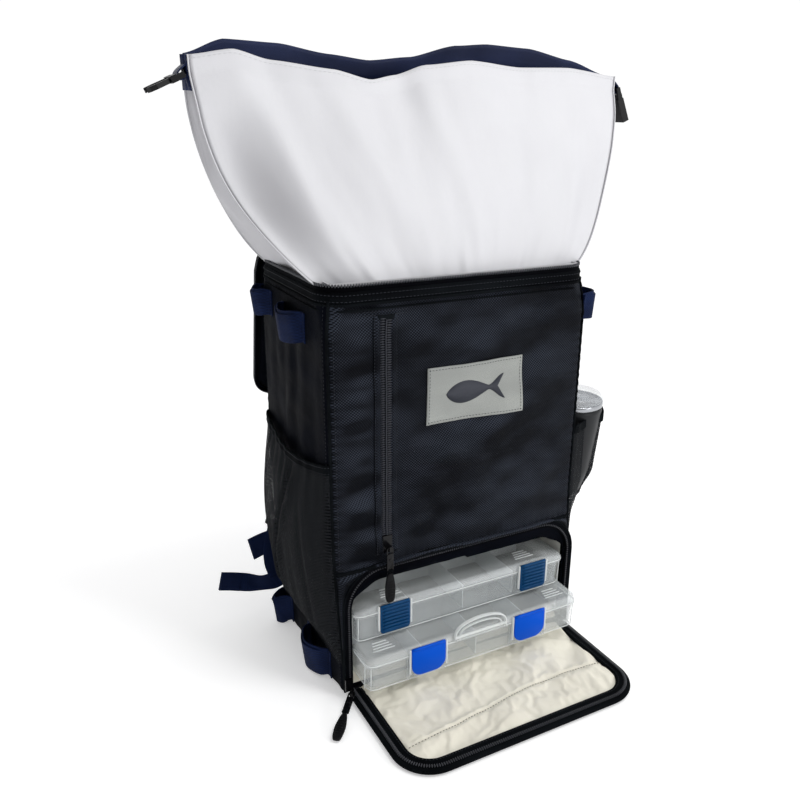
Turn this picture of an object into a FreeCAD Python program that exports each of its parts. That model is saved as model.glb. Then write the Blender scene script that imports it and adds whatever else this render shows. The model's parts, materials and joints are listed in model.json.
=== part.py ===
import FreeCAD, Part
import os

# A tackle backpack: a square soft cooler with a roll-top liner and a tackle bay with two utility
# trays under it. Millimetres. +X is the wearer's left-to-right seen from the front, the front faces
# -Y, +Z is up, and the origin is the middle of the base on the ground.

# ---- driving dimensions: the bag ----
BAG_W = 310.0
BAG_D = 192.0
RIM_Z = 460.0
SKIN = 2.0
FOAM = 7.0
LINER = 1.0
GAP = 0.3
BASE_T = 3.0
BOARD_T = 3.0
SHELF_Z = 150.0
SEAM_Z = 155.0
BAND_H = 15.0

# ---- driving dimensions: the roll-top liner ----
MOUTH_HALF_W = 240.0
MOUTH_HALF_GAP = 14.0
COLLAR_TOP_Z = 630.0
MOUTH_TOP_Z = 655.0
MOUTH_BAND_T = 2.5

# ---- driving dimensions: the tackle bay, its door and its trays ----
BAY_X = 6.0
BAY_HALF_W = 142.5
BAY_FLOOR_Z = 24.2
BAY_BACK_Y = 89.5
DOOR_HINGE_Y = -98.0
DOOR_HINGE_Z = 7.0
DOOR_HALF_W = 141.5
DOOR_LENGTH = 140.0
DOOR_T = 6.0
DOOR_R = 34.0
DOOR_RIM = 13.0
TRAY_HALF_W = 139.5
TRAY_D = 176.0
TRAY_H = 42.5
TRAY_WALL = 1.6
TRAY_LID_H = 10.0
TRAY_DRAFT = 3.0
TRAY_GAP = 0.4
LOWER_TRAY_OUT = 35.0
UPPER_TRAY_OUT = 3.0
TRAY_LIP = 2.0
LATCH_H = 36.0
LATCH_T = 2.6
LATCH_GAP = 0.8

# ---- driving dimensions: lid, pockets, label, zips ----
LID_HINGE_Y = 99.0
LID_HINGE_Z = 472.0
LID_T = 10.0
LID_LENGTH = 192.0
LID_LEAN = 12.0
LID_LINING_T = 1.5
LID_R = 22.0
POCKET_OUT = 21.0
POCKET_TOP_Z = 272.0
POCKET_T = 1.5
POCKET_LOW_Z = 48.0
HEM_T = 2.2
LEFT_HEM_H = 12.0
RIGHT_HEM_H = 8.0
PATCH_X = (-46.0, 71.0)
PATCH_Z = (306.0, 368.0)
PATCH_T = 1.4
ZIP_TAPE_HALF_W = 8.0
ZIP_TAPE_T = 1.2
SLIDER_T = 3.5
SLIDER_STAND_OFF = 1.5
TUMBLER_X = 193.5
TUMBLER_Y = -38.0
TUMBLER_R = 37.0
TUMBLER_BASE_Z = 141.0
TUMBLER_TOP_Z = 281.0
ZIP_X = -93.0
ZIP_Z0 = 174.0
ZIP_Z1 = 428.0
DOOR_PULL_YAW = 38.0
DOOR_PULL_LAY = 85.5
POUCH_ROOM = 1.0

# ---- driving dimensions: webbing loops, back and straps ----
WEB_T = 2.0
LOOP_OUT = 16.0
UPPER_LOOP_Z = (388.0, 426.0)
LOWER_LOOP_Z = (4.0, 42.0)
REAR_LOOP_Y = (46.0, 92.0)
BACK_PAD_HALF_W = 112.0
BACK_PAD_Z = (60.0, 396.0)
BACK_PAD_T = 8.0
STRAP_T = 9.0
STRAP_WEB_W = 25.0
TAIL_WEB_W = 20.0
LOCK_X = -150.0
LOCK_Z = 140.0
LOCK_HALF_W = 17.0
LOCK_HALF_H = 16.0
LOCK_TILT = 20.0
HAUL_Z = (416.0, 441.0)

# ---- derived sizes ----
HALF_W = BAG_W / 2
FRONT_Y = -BAG_D / 2
BACK_Y = BAG_D / 2
WALL_TOP_Z = RIM_Z - BAND_H
INNER_HALF_W = HALF_W - SKIN - FOAM
INNER_FRONT_Y = FRONT_Y + SKIN + FOAM
INNER_BACK_Y = BACK_Y - SKIN - FOAM
COOLER_FLOOR_Z = SHELF_Z + BOARD_T + 9.0
LOWER_TRAY_Z = BAY_FLOOR_Z + GAP
UPPER_TRAY_Z = LOWER_TRAY_Z + TRAY_H + TRAY_GAP

VEC = FreeCAD.Vector
X_AXIS = VEC(1, 0, 0)
Y_AXIS = VEC(0, 1, 0)
Z_AXIS = VEC(0, 0, 1)


# ---------------------------------------------------------------- helpers

def box(x0, x1, y0, y1, z0, z1):
    """A block between two corners."""
    return Part.makeBox(x1 - x0, y1 - y0, z1 - z0, VEC(x0, y0, z0))


def prism(points, axis, low, high):
    """A polygon of pairs in the plane across an axis, extruded from low to high along it."""
    place = {
        "x": lambda a, b: VEC(low, a, b),
        "y": lambda a, b: VEC(a, low, b),
        "z": lambda a, b: VEC(a, b, low),
    }[axis]
    run = {"x": X_AXIS, "y": Y_AXIS, "z": Z_AXIS}[axis] * (high - low)
    corners = [place(a, b) for a, b in points]
    return Part.Face(Part.makePolygon(corners + corners[:1])).extrude(run)


def frustum(low, z0, high, z1):
    """A solid between two rectangles of (half width, half depth) at heights z0 and z1."""
    def ring(half, z):
        half_w, half_d = half
        corners = [
            VEC(-half_w, -half_d, z),
            VEC(half_w, -half_d, z),
            VEC(half_w, half_d, z),
            VEC(-half_w, half_d, z),
        ]
        return Part.makePolygon(corners + corners[:1])
    return Part.makeLoft([ring(low, z0), ring(high, z1)], True, True)


def move(shape, x=0.0, y=0.0, z=0.0):
    """A copy of a shape, moved."""
    copy = shape.copy()
    copy.translate(VEC(x, y, z))
    return copy


def turn(shape, centre, axis, degrees):
    """A copy of a shape, turned about an axis through a point."""
    copy = shape.copy()
    copy.rotate(centre, axis, degrees)
    return copy


def mirrored(shape):
    """The same shape on the other side of the bag."""
    return shape.mirror(VEC(0, 0, 0), X_AXIS)


def round_edges(shape, radius, wanted):
    """Fillet the edges that a test picks by their middle point and direction."""
    chosen = []
    for edge in shape.Edges:
        start, end = edge.Vertexes[0].Point, edge.Vertexes[-1].Point
        if wanted((start + end) * 0.5, (end - start)):
            chosen.append(edge)
    return shape.makeFillet(radius, chosen)


def strip(points, width, normal, thickness):
    """A flat strap along a path of points, laid with its thickness along a normal."""
    pieces = []
    for start, end in zip(points, points[1:]):
        run = end - start
        side = normal.cross(run).normalize() * (width / 2)
        corners = [start - side, start + side, end + side, end - side]
        face = Part.Face(Part.makePolygon(corners + corners[:1]))
        pieces.append(face.extrude(normal * thickness))
    solid = pieces[0]
    for piece in pieces[1:]:
        solid = solid.fuse(piece)
    return solid.removeSplitter()


def write(name, *solids):
    """One STEP file for one named node."""
    shape = solids[0] if len(solids) == 1 else Part.makeCompound(list(solids))
    shape.exportStep("parts/" + name + ".step")


# ---------------------------------------------------------------- the bag's shell

def base():
    """Fabric base and the stiff board that keeps it flat."""
    panel = box(-HALF_W, HALF_W, FRONT_Y, BACK_Y, 0, BASE_T)
    panel = round_edges(panel, 10.0, lambda p, d: abs(d.z) > 1)
    write("base_panel", panel)
    inset = SKIN + GAP
    board = box(-HALF_W + inset, HALF_W - inset, FRONT_Y + inset, BACK_Y - inset,
                BASE_T, BASE_T + BOARD_T)
    write("base_board", round_edges(board, 8.0, lambda p, d: abs(d.z) > 1))


def front():
    """Front panel above the seam, and the frame of the door opening below it."""
    back = FRONT_Y + SKIN
    write("front_panel", box(-HALF_W, HALF_W, FRONT_Y, back, SEAM_Z, WALL_TOP_Z))
    arch_low = SEAM_Z - DOOR_R - 4.0
    header = box(-HALF_W, HALF_W, FRONT_Y, back, arch_low, SEAM_Z)
    left, right = BAY_X - BAY_HALF_W, BAY_X + BAY_HALF_W
    hole = box(left, right, FRONT_Y - 1, back + 1, 0, SEAM_Z - 4.0)
    hole = round_edges(hole, DOOR_R, lambda p, d: abs(d.y) > 1 and p.z > SHELF_Z)
    jamb_left = box(-HALF_W, left, FRONT_Y, back, BASE_T, arch_low)
    jamb_right = box(right, HALF_W, FRONT_Y, back, BASE_T, arch_low)
    write("door_frame", header.cut(hole), jamb_left, jamb_right)


def sides_and_back():
    """Side panels and the back panel."""
    side = box(-HALF_W, -HALF_W + SKIN, FRONT_Y + SKIN, BACK_Y - SKIN, BASE_T, WALL_TOP_Z)
    write("side_panels", side, mirrored(side))
    write("back_panel", box(-HALF_W, HALF_W, BACK_Y - SKIN, BACK_Y, BASE_T, WALL_TOP_Z))


def shelf_and_foam():
    """The shelf between the two bays, and the closed-cell foam round the cooler bay."""
    inner = HALF_W - SKIN
    write("bay_shelf", box(-inner, inner, FRONT_Y + SKIN, BACK_Y - SKIN, SHELF_Z, SHELF_Z + BOARD_T))
    low = SHELF_Z + BOARD_T
    high = RIM_Z - 4.0
    floor = box(-inner, inner, FRONT_Y + SKIN, BACK_Y - SKIN, low, COOLER_FLOOR_Z)
    front_slab = box(-inner, inner, FRONT_Y + SKIN + POUCH_ROOM, INNER_FRONT_Y, COOLER_FLOOR_Z, high)
    back_slab = box(-inner, inner, INNER_BACK_Y, BACK_Y - SKIN, COOLER_FLOOR_Z, high)
    side = box(-inner, -INNER_HALF_W, INNER_FRONT_Y, INNER_BACK_Y, COOLER_FLOOR_Z, high)
    write("foam_panels", floor, front_slab, back_slab, side, mirrored(side))


def tackle_bay():
    """Padded floor and walls of the tackle bay."""
    inner = HALF_W - SKIN
    low = BASE_T + BOARD_T
    left, right = BAY_X - BAY_HALF_W, BAY_X + BAY_HALF_W
    write("bay_floor_pad", box(left, right, FRONT_Y + SKIN, BAY_BACK_Y, low, BAY_FLOOR_Z))
    back_wall = box(-inner, inner, BAY_BACK_Y, BACK_Y - SKIN, low, SHELF_Z)
    left_wall = box(-inner, left, FRONT_Y + SKIN, BAY_BACK_Y, low, SHELF_Z)
    right_wall = box(right, inner, FRONT_Y + SKIN, BAY_BACK_Y, low, SHELF_Z)
    write("bay_walls", back_wall, left_wall, right_wall)


def liner():
    """Welded liner: a bucket inside the foam, and the tall collar that stands out of the mouth."""
    half_w = INNER_HALF_W - GAP
    half_d = -INNER_FRONT_Y - GAP
    outer = box(-half_w, half_w, -half_d, half_d, COOLER_FLOOR_Z, RIM_Z)
    inner = box(-half_w + LINER, half_w - LINER, -half_d + LINER, half_d - LINER,
                COOLER_FLOOR_Z + LINER, RIM_Z + 1)
    write("liner_bucket", outer.cut(inner))
    skin = frustum((half_w, half_d), RIM_Z, (MOUTH_HALF_W, MOUTH_HALF_GAP), COLLAR_TOP_Z)
    hollow = frustum((half_w - LINER, half_d - LINER), RIM_Z,
                     (MOUTH_HALF_W - LINER, MOUTH_HALF_GAP - LINER), COLLAR_TOP_Z)
    write("liner_collar", skin.cut(hollow))


def mouth_bands():
    """Stiff webbing bands along the roll-top's two edges."""
    low = COLLAR_TOP_Z + GAP
    inner = MOUTH_HALF_GAP - MOUTH_BAND_T
    band = box(-MOUTH_HALF_W + 2, MOUTH_HALF_W - 2, inner, MOUTH_HALF_GAP, low, MOUTH_TOP_Z)
    write("mouth_band_rear", band)
    write("mouth_band_front", move(band, y=-MOUTH_HALF_GAP - inner))


def rim():
    """Binding band round the mouth and the open half of the lid's zip on top of it."""
    def ring(half_w, half_d, inset, z0, z1):
        outer = box(-half_w, half_w, -half_d, half_d, z0, z1)
        outer = round_edges(outer, 8.0, lambda p, d: abs(d.z) > 1)
        hole = box(-half_w + inset, half_w - inset, -half_d + inset, half_d - inset, z0 - 1, z1 + 1)
        return outer.cut(hole)
    write("rim_band", ring(HALF_W, -FRONT_Y, SKIN, WALL_TOP_Z, RIM_Z))
    tape = ring(HALF_W - 0.5, -FRONT_Y - 0.5, 4.0, RIM_Z, RIM_Z + 1.2)
    tape = tape.cut(box(-HALF_W, HALF_W, BACK_Y - 6, BACK_Y + 1, RIM_Z - 1, RIM_Z + 5))
    write("rim_zip_tape", tape)


# ---------------------------------------------------------------- lid

def lid():
    """Padded lid, thrown open: it hangs behind the bag from a sewn strip along the back edge."""
    hinge = VEC(0, LID_HINGE_Y, LID_HINGE_Z)
    half = HALF_W - 1.0
    near = LID_HINGE_Y - 0.8
    far = LID_HINGE_Y - LID_LENGTH
    top = LID_HINGE_Z - 0.2

    def slab(inset, z0, z1):
        shape = box(-half + inset, half - inset, far + inset, near - inset, z0, z1)
        return round_edges(shape, LID_R, lambda p, d: abs(d.z) > 0.5 and p.y < 0)

    def hang(shape):
        return turn(shape, hinge, X_AXIS, -270.0 + LID_LEAN)

    shell = slab(0, top - 3.0, top)
    pad = slab(4.0, top - LID_T + LID_LINING_T, top - 3.0)
    lining = slab(4.0, top - LID_T, top - LID_T + LID_LINING_T)
    tape = slab(0, top - LID_T + 2, top - 3.0).cut(slab(3.8, top - LID_T, top))
    write("lid_shell", hang(shell))
    write("lid_foam", hang(pad))
    write("lid_lining", hang(lining))
    write("lid_zip_tape", hang(tape))
    write("lid_hinge_strip", box(-half + 8, half - 8, BACK_Y, BACK_Y + 1.5, 432, LID_HINGE_Z - 2))


# ---------------------------------------------------------------- tackle bay door

def door():
    """Padded door of the tackle bay, built lying open in front of the bag on the ground."""
    far = DOOR_HINGE_Y - DOOR_LENGTH
    near = DOOR_HINGE_Y - 0.6
    low = DOOR_HINGE_Z - DOOR_T
    mid = DOOR_HINGE_Z - 2.0

    def slab(inset, z0, z1):
        half = DOOR_HALF_W - inset
        shape = box(BAY_X - half, BAY_X + half, far + inset, near, z0, z1)
        radius = DOOR_R - inset
        return round_edges(shape, radius, lambda p, d: abs(d.z) > 0.5 and p.y < far + inset + 1)

    write("door_shell", slab(0, low, low + 2.0))
    write("door_pad", slab(DOOR_RIM, low + 2.0, mid))
    write("door_lining", slab(DOOR_RIM, mid, DOOR_HINGE_Z))
    rim_tape = slab(0, low + 2.0, DOOR_HINGE_Z - 0.4)
    write("door_zip_tape", rim_tape.cut(slab(DOOR_RIM, low, DOOR_HINGE_Z + 1)))


def door_frame_tape():
    """The zip tape's other half, sewn round the arch of the door opening."""
    out, inn = DOOR_HALF_W + 6.5, DOOR_HALF_W + 1
    outer = box(BAY_X - out, BAY_X + out, FRONT_Y - ZIP_TAPE_T, FRONT_Y, 8, SEAM_Z - 1)
    outer = round_edges(outer, DOOR_R + 6, lambda p, d: abs(d.y) > 1 and p.z > SHELF_Z)
    hole = box(BAY_X - inn, BAY_X + inn, FRONT_Y - 2, FRONT_Y + 1, 0, SEAM_Z - 7)
    hole = round_edges(hole, DOOR_R, lambda p, d: abs(d.y) > 1 and p.z > SHELF_Z - 20)
    write("door_frame_tape", outer.cut(hole))


# ---------------------------------------------------------------- utility trays

def tray(name, z, front_y, latch_x, latch_half_w):
    """A clear utility tray: base, dividers, lid and two front latches."""
    back_y = front_y + TRAY_D
    rim_z = z + TRAY_H - TRAY_LID_H
    half = TRAY_HALF_W - TRAY_LIP
    mid_y = (front_y + back_y) / 2

    def cup(inset, floor, top):
        taper = frustum((half - TRAY_DRAFT - inset, TRAY_D / 2 - TRAY_DRAFT - inset), floor,
                        (half - inset, TRAY_D / 2 - inset), top)
        return move(taper, y=mid_y)

    shell = cup(0, z, rim_z).cut(cup(TRAY_WALL, z + TRAY_WALL, rim_z + 0.01))
    write(name + "_base", move(shell, x=BAY_X))

    dividers = []
    clear = TRAY_DRAFT + TRAY_WALL + 1.2
    low, high = z + TRAY_WALL + GAP, rim_z - 1.0
    long_wall = box(-half + clear, half - clear, mid_y - 0.6, mid_y + 0.6, low, high)
    dividers.append(long_wall)
    for x in (-half / 2, 0, half / 2):
        for y0, y1 in ((front_y + clear, mid_y - 0.9), (mid_y + 0.9, back_y - clear)):
            dividers.append(box(x - 0.6, x + 0.6, y0, y1, low, high))
    write(name + "_dividers", *[move(wall, x=BAY_X) for wall in dividers])

    top = z + TRAY_H
    cover = box(-TRAY_HALF_W, TRAY_HALF_W, front_y - TRAY_LIP, back_y + TRAY_LIP, rim_z + GAP, top)
    cover = round_edges(cover, 9.0, lambda p, d: abs(d.z) > 1)
    inner = box(-half + 0.4, half - 0.4, front_y + 0.4, back_y - 0.4, rim_z, top - TRAY_WALL)
    write(name + "_lid", move(cover.cut(inner), x=BAY_X))

    side_names = ("left", "right")
    for side, x in zip(side_names, (-latch_x, latch_x)):
        face = front_y - TRAY_LIP - LATCH_GAP
        plate = box(x - latch_half_w, x + latch_half_w, face - LATCH_T, face,
                    top - LATCH_H, top - 0.5)
        low_edge = top - LATCH_H + 1
        plate = round_edges(plate, 7.0, lambda p, d: abs(d.y) > 1 and p.z < low_edge)
        write(name + "_latch_" + side, move(plate, x=BAY_X))


def tray_handle(front_y, z):
    """The lower tray's moulded carry loop, standing on the lip of its lid."""
    top = z + TRAY_H
    y0, y1 = front_y - TRAY_LIP - 2.6, front_y - TRAY_LIP - GAP
    outer = box(-35, 35, y0, y1, top - 8, top + 15)
    outer = round_edges(outer, 20.0, lambda p, d: abs(d.y) > 1 and p.z > top + 10)
    hole = box(-28, 28, y0 - 1, y1 + 1, top - 2.5, top + 9)
    hole = round_edges(hole, 8.0, lambda p, d: abs(d.y) > 1 and p.z > top + 5)
    write("lower_tray_handle", move(outer.cut(hole), x=BAY_X))


def trays():
    """Both trays, one on the other; the lower one is drawn forward."""
    lower_front = DOOR_HINGE_Y - LOWER_TRAY_OUT
    tray("lower_tray", LOWER_TRAY_Z, lower_front, 67.0, 21.0)
    tray_handle(lower_front, LOWER_TRAY_Z)
    tray("upper_tray", UPPER_TRAY_Z, DOOR_HINGE_Y - UPPER_TRAY_OUT, 92.0, 18.0)


# ---------------------------------------------------------------- roll-top buckle

def roll_top_loop():
    """Webbing end of the bands, folded round the buckle's bar. The left one; the right mirrors it."""
    bar_x, bar_z = -MOUTH_HALF_W - 6.5, MOUTH_TOP_Z - 16.0
    root_x = -MOUTH_HALF_W + 1.7
    half_w = 9.0
    outline = [
        (root_x, MOUTH_TOP_Z - 4.0),
        (root_x, MOUTH_TOP_Z - 10.0),
        (bar_x, bar_z - 3.5),
        (bar_x - 3.0, bar_z + 3.0),
    ]
    tongue = prism(outline, "y", -half_w, half_w)
    eye = Part.makeCylinder(4.3, half_w * 2, VEC(bar_x, -half_w, bar_z), Y_AXIS)
    hole = Part.makeCylinder(2.4, half_w * 2 + 2, VEC(bar_x, -half_w - 1, bar_z), Y_AXIS)
    return tongue.fuse(eye).cut(hole).removeSplitter(), bar_x, bar_z


def buckle_frame(bar_x, bar_z):
    """Bar and two cheeks that every half of the buckle starts with."""
    bar = Part.makeCylinder(2.0, 25.0, VEC(bar_x, -12.5, bar_z), Y_AXIS)
    cheek = box(bar_x - 8, bar_x + 2.2, 9.6, 12.5, bar_z - 2.5, bar_z + 2.5)
    yoke = box(bar_x - 11, bar_x - 5.2, -12.5, 12.5, bar_z - 3.0, bar_z + 3.0)
    return bar.fuse([cheek, move(cheek, y=-22.1), yoke])


def buckle_male(bar_x, bar_z):
    """Prong half: a centre guide between two sprung arms."""
    start = bar_x - 10.5
    guide = box(start - 18, start, -1.8, 1.8, bar_z - 1.5, bar_z + 1.5)
    arm_plan = [(0, 6.5), (0, 9.5), (14, 12.5), (20, 10.5), (22.5, 6.0), (18, 6.0), (12, 8.0)]
    arm = prism([(start - along, side) for along, side in arm_plan], "z", bar_z - 2.2, bar_z + 2.2)
    other = arm.mirror(VEC(0, 0, 0), Y_AXIS)
    return buckle_frame(bar_x, bar_z).fuse([guide, arm, other]).removeSplitter()


def buckle_female(bar_x, bar_z):
    """Socket half: a flat mouth with an open window on each side."""
    start = bar_x - 10.5
    body = prism([(start, 12.5), (start - 26, 14.0), (start - 26, -14.0), (start, -12.5)],
                 "z", bar_z - 4.0, bar_z + 4.0)
    mouth = box(start - 27, start - 5, -11.0, 11.0, bar_z - 2.6, bar_z + 2.6)
    return buckle_frame(bar_x, bar_z).fuse(body).cut(mouth).removeSplitter()


def roll_top_ends():
    """Both ends of the roll-top: loop and buckle half, hanging from it."""
    loop, bar_x, bar_z = roll_top_loop()
    write("mouth_loops", loop, mirrored(loop))
    pivot = VEC(bar_x, 0, bar_z)
    write("buckle_male", turn(buckle_male(bar_x, bar_z), pivot, Y_AXIS, -24.0))
    write("buckle_female", mirrored(turn(buckle_female(bar_x, bar_z), pivot, Y_AXIS, -68.0)))


# ---------------------------------------------------------------- front pocket, label, zips

def front_pocket():
    """Upright pocket zip with its hidden pouch, and the sewn label."""
    low = ZIP_Z0 - 4.0
    tape = box(ZIP_X - ZIP_TAPE_HALF_W, ZIP_X + ZIP_TAPE_HALF_W, FRONT_Y - ZIP_TAPE_T, FRONT_Y, low, ZIP_Z1)
    write("pocket_zip_tape", tape)
    pouch_y = FRONT_Y + SKIN
    write("pocket_pouch", box(ZIP_X - 10, 110, pouch_y + 0.1, pouch_y + 0.9, ZIP_Z0, ZIP_Z1))
    patch = box(*PATCH_X, FRONT_Y - PATCH_T, FRONT_Y, *PATCH_Z)
    write("label_patch", round_edges(patch, 3.0, lambda p, d: abs(d.y) > 1))


def pocket_slider():
    """Slider of the pocket zip, its pull tab and the ribbed cord grip that hangs from it."""
    front = FRONT_Y - SLIDER_STAND_OFF
    top = ZIP_Z0 + 17.0
    outline = [(ZIP_X - 5.5, top), (ZIP_X + 5.5, top), (ZIP_X + 4, ZIP_Z0), (ZIP_X - 4, ZIP_Z0)]
    slider = prism(outline, "y", front - SLIDER_T, front)
    pin_y, pin_z = front - 9.0, ZIP_Z0 + 4.3
    eye = box(ZIP_X - 1.6, ZIP_X + 1.6, pin_y - 2.7, front - 3.4, pin_z - 3.0, pin_z + 3.0)
    hole = Part.makeCylinder(1.4, 8.0, VEC(ZIP_X - 4, pin_y, pin_z), X_AXIS)
    write("pocket_slider", slider.fuse(eye).cut(hole).removeSplitter())
    write("pocket_pull", pull_tab(ZIP_X, pin_y, pin_z, 28.0), pull_grip(ZIP_X, pin_y, pin_z, 28.0, 38.0))


def pull_tab(x, y, z, length):
    """Metal pull tab that hangs from a cross bar at (x, y, z)."""
    bar = Part.makeCylinder(1.2, 8.0, VEC(x - 4, y, z), X_AXIS)
    cheek = box(x - 4, x - 2.2, y - 1.2, y + 1.2, z - 8, z)
    plate = box(x - 4, x + 4, y - 1.2, y + 1.2, z - length, z - 6.5)
    return bar.fuse([cheek, move(cheek, x=6.2), plate]).removeSplitter()


def pull_grip(x, y, z, start, length):
    """Rubber grip sleeved below the pull tab."""
    top, low = z - start - GAP, z - start - length
    grip = box(x - 4.8, x + 4.8, y - 1.5, y + 1.5, low, top)
    return round_edges(grip, 3.0, lambda p, d: abs(d.y) > 1)


def door_slider():
    """Slider of the door's zip at the bottom of its left run, and its pull lying on the ground."""
    x, z = BAY_X - DOOR_HALF_W - 4.5, 13.0
    front = FRONT_Y - SLIDER_STAND_OFF
    slider = box(x - 5, x + 3.2, front - SLIDER_T, front, z - 3.5, z + 11)
    pin_y, pin_z = front - 8.2, z - 3.6
    pivot = VEC(x, pin_y, pin_z)
    eye = box(x - 1.6, x + 1.6, pin_y - 2.7, front - 3.4, pin_z - 3.0, pin_z + 3.0)
    hole = Part.makeCylinder(1.4, 8.0, VEC(x - 4, pin_y, pin_z), X_AXIS)
    eye = turn(eye.cut(hole), pivot, Z_AXIS, -DOOR_PULL_YAW)
    write("door_slider", slider.fuse(eye).removeSplitter())

    def lay(shape):
        flat = turn(shape, pivot, X_AXIS, -DOOR_PULL_LAY)
        return turn(flat, pivot, Z_AXIS, -DOOR_PULL_YAW)

    tab = pull_tab(x, pin_y, pin_z, 30.0)
    grip = pull_grip(x, pin_y, pin_z, 30.0, 44.0)
    write("door_pull", lay(tab), lay(grip))


# ---------------------------------------------------------------- side pockets and tumbler

def side_pockets():
    """Left and right stretch pockets with their elastic hems."""
    wall = HALF_W + GAP

    def plan(out, inset, bulge=None):
        y0, y1 = FRONT_Y + 4 + inset, BACK_Y - 4 - inset
        far = wall + out - inset
        if bulge is None:
            return [(wall, y0), (far - 6, y0), (far, y0 + 10), (far, y1 - 10), (far - 6, y1), (wall, y1)]
        low, high, reach = bulge
        reach = wall + reach - inset
        return [
            (wall, y0),
            (far, y0),
            (reach, low + inset * 0.6),
            (reach, high - inset * 0.6),
            (far, high + 46 - inset),
            (wall + 4, y1),
            (wall, y1),
        ]

    low = POCKET_LOW_Z
    shell = prism(plan(POCKET_OUT, 0), "z", low, POCKET_TOP_Z)
    hollow = prism(plan(POCKET_OUT, POCKET_T), "z", low + POCKET_T, POCKET_TOP_Z + 1)
    left = shell.cut(hollow)
    write("mesh_pocket_left", mirrored(left))
    hem_low = POCKET_TOP_Z + 0.1
    hem_out = POCKET_OUT + 1.5
    outer = prism(plan(hem_out, 0), "z", hem_low, POCKET_TOP_Z + LEFT_HEM_H)
    inner = prism(plan(hem_out, HEM_T), "z", POCKET_TOP_Z - 1, POCKET_TOP_Z + LEFT_HEM_H + 1)
    left_hem = mirrored(outer.cut(inner))

    front_out = POCKET_OUT + 1.0
    bulge = (TUMBLER_Y - 22.0, TUMBLER_Y + 22.0, TUMBLER_X + TUMBLER_R + 3.0 - wall)
    floor_z = TUMBLER_BASE_Z - 3.0
    shell = prism(plan(front_out, 0, bulge), "z", floor_z, POCKET_TOP_Z)
    hollow = prism(plan(front_out, POCKET_T, bulge), "z", floor_z + POCKET_T, POCKET_TOP_Z + 1)
    flat = box(wall, wall + 5, FRONT_Y + 4, BACK_Y - 4, low, floor_z)
    write("mesh_pocket_right", shell.cut(hollow).fuse(flat).removeSplitter())
    hem_out = front_out + 1.5
    hem_bulge = (bulge[0], bulge[1], bulge[2] + 1.5)
    outer = prism(plan(hem_out, 0, hem_bulge), "z", hem_low, POCKET_TOP_Z + RIGHT_HEM_H)
    inner = prism(plan(hem_out, HEM_T, hem_bulge), "z", POCKET_TOP_Z - 1, POCKET_TOP_Z + RIGHT_HEM_H + 1)
    write("pocket_hems", left_hem, outer.cut(inner))


def tumbler():
    """Steel tumbler in the right pocket with a clear press-on lid."""
    foot = VEC(TUMBLER_X, TUMBLER_Y, TUMBLER_BASE_Z)
    height = TUMBLER_TOP_Z - TUMBLER_BASE_Z
    wall = 3.0
    foot_r = TUMBLER_R - 9.0
    outer = Part.makeCone(foot_r, TUMBLER_R, height, foot)
    inner = Part.makeCone(foot_r - wall, TUMBLER_R - wall, height - wall + 0.01, foot + Z_AXIS * wall)
    write("tumbler_cup", outer.cut(inner))
    rim = VEC(TUMBLER_X, TUMBLER_Y, TUMBLER_TOP_Z)
    plug = TUMBLER_R - wall - 1.2
    lid_shape = Part.makeCylinder(TUMBLER_R, 5.0, rim + Z_AXIS * 0.1)
    crown = Part.makeCone(TUMBLER_R - 3, TUMBLER_R - 8, 4.0, rim + Z_AXIS * 5.0)
    skirt = Part.makeCylinder(plug - 1.5, 9.0, rim - Z_AXIS * 8.8)
    groove = Part.makeCylinder(plug - 4.5, 9.0, rim - Z_AXIS * 9.0)
    write("tumbler_lid", lid_shape.fuse([crown, skirt]).cut(groove).removeSplitter())


# ---------------------------------------------------------------- webbing

def gear_loop(y0, y1, z0, z1, out):
    """A webbing loop that stands off a side panel, both ends sewn down. On the +X side."""
    wall = HALF_W + GAP
    rise = min(14.0, (y1 - y0) / 3)
    outer = [(wall, y0), (wall + out, y0 + rise), (wall + out, y1 - rise), (wall, y1)]
    inset = WEB_T * 1.8
    reach = wall + out - WEB_T
    inner = [(wall, y0 + inset), (reach, y0 + rise + 1), (reach, y1 - rise - 1), (wall, y1 - inset)]
    return prism(outer, "z", z0, z1).cut(prism(inner, "z", z0 - 1, z1 + 1))


def gear_loops():
    """Upper and lower pairs of webbing loops on both sides."""
    low_out = LOOP_OUT + 4.0
    rear = gear_loop(*REAR_LOOP_Y, *UPPER_LOOP_Z, LOOP_OUT)
    low_front = gear_loop(-60, 0, *LOWER_LOOP_Z, low_out)
    low_rear = gear_loop(42, 92, *LOWER_LOOP_Z, low_out)
    left_front = gear_loop(-50, 8, *UPPER_LOOP_Z, LOOP_OUT)
    right_front = gear_loop(-92, -42, UPPER_LOOP_Z[0], UPPER_LOOP_Z[1] - 6, LOOP_OUT + 8)
    write("gear_loops_right", right_front, rear, low_front, low_rear)
    write("gear_loops_left", *[mirrored(loop) for loop in (left_front, rear, low_front, low_rear)])


def back_carry():
    """Back pad, shoulder straps with their lower webbing and ladder locks, and the haul handle."""
    pad = box(-BACK_PAD_HALF_W, BACK_PAD_HALF_W, BACK_Y, BACK_Y + BACK_PAD_T, *BACK_PAD_Z)
    write("back_pad", round_edges(pad, 24.0, lambda p, d: abs(d.y) > 1))
    y0 = BACK_Y + BACK_PAD_T + 0.5
    pad_outline = [(-24, 395), (-78, 395), (-128, 300), (-142, 196), (-92, 190), (-76, 290)]
    strap = prism(pad_outline, "y", y0, y0 + STRAP_T)
    write("shoulder_straps", strap, mirrored(strap))
    shoulder_webbing(y0 + WEB_T)
    grip_y = BACK_Y + 1.6
    low, high = HAUL_Z
    grip = box(-46, 46, grip_y + 5.0, grip_y + 7.0, low, high)
    post = box(-58, -46, grip_y, grip_y + 7.0, low, high)
    write("haul_handle", grip.fuse([post, mirrored(post)]).removeSplitter())


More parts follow.
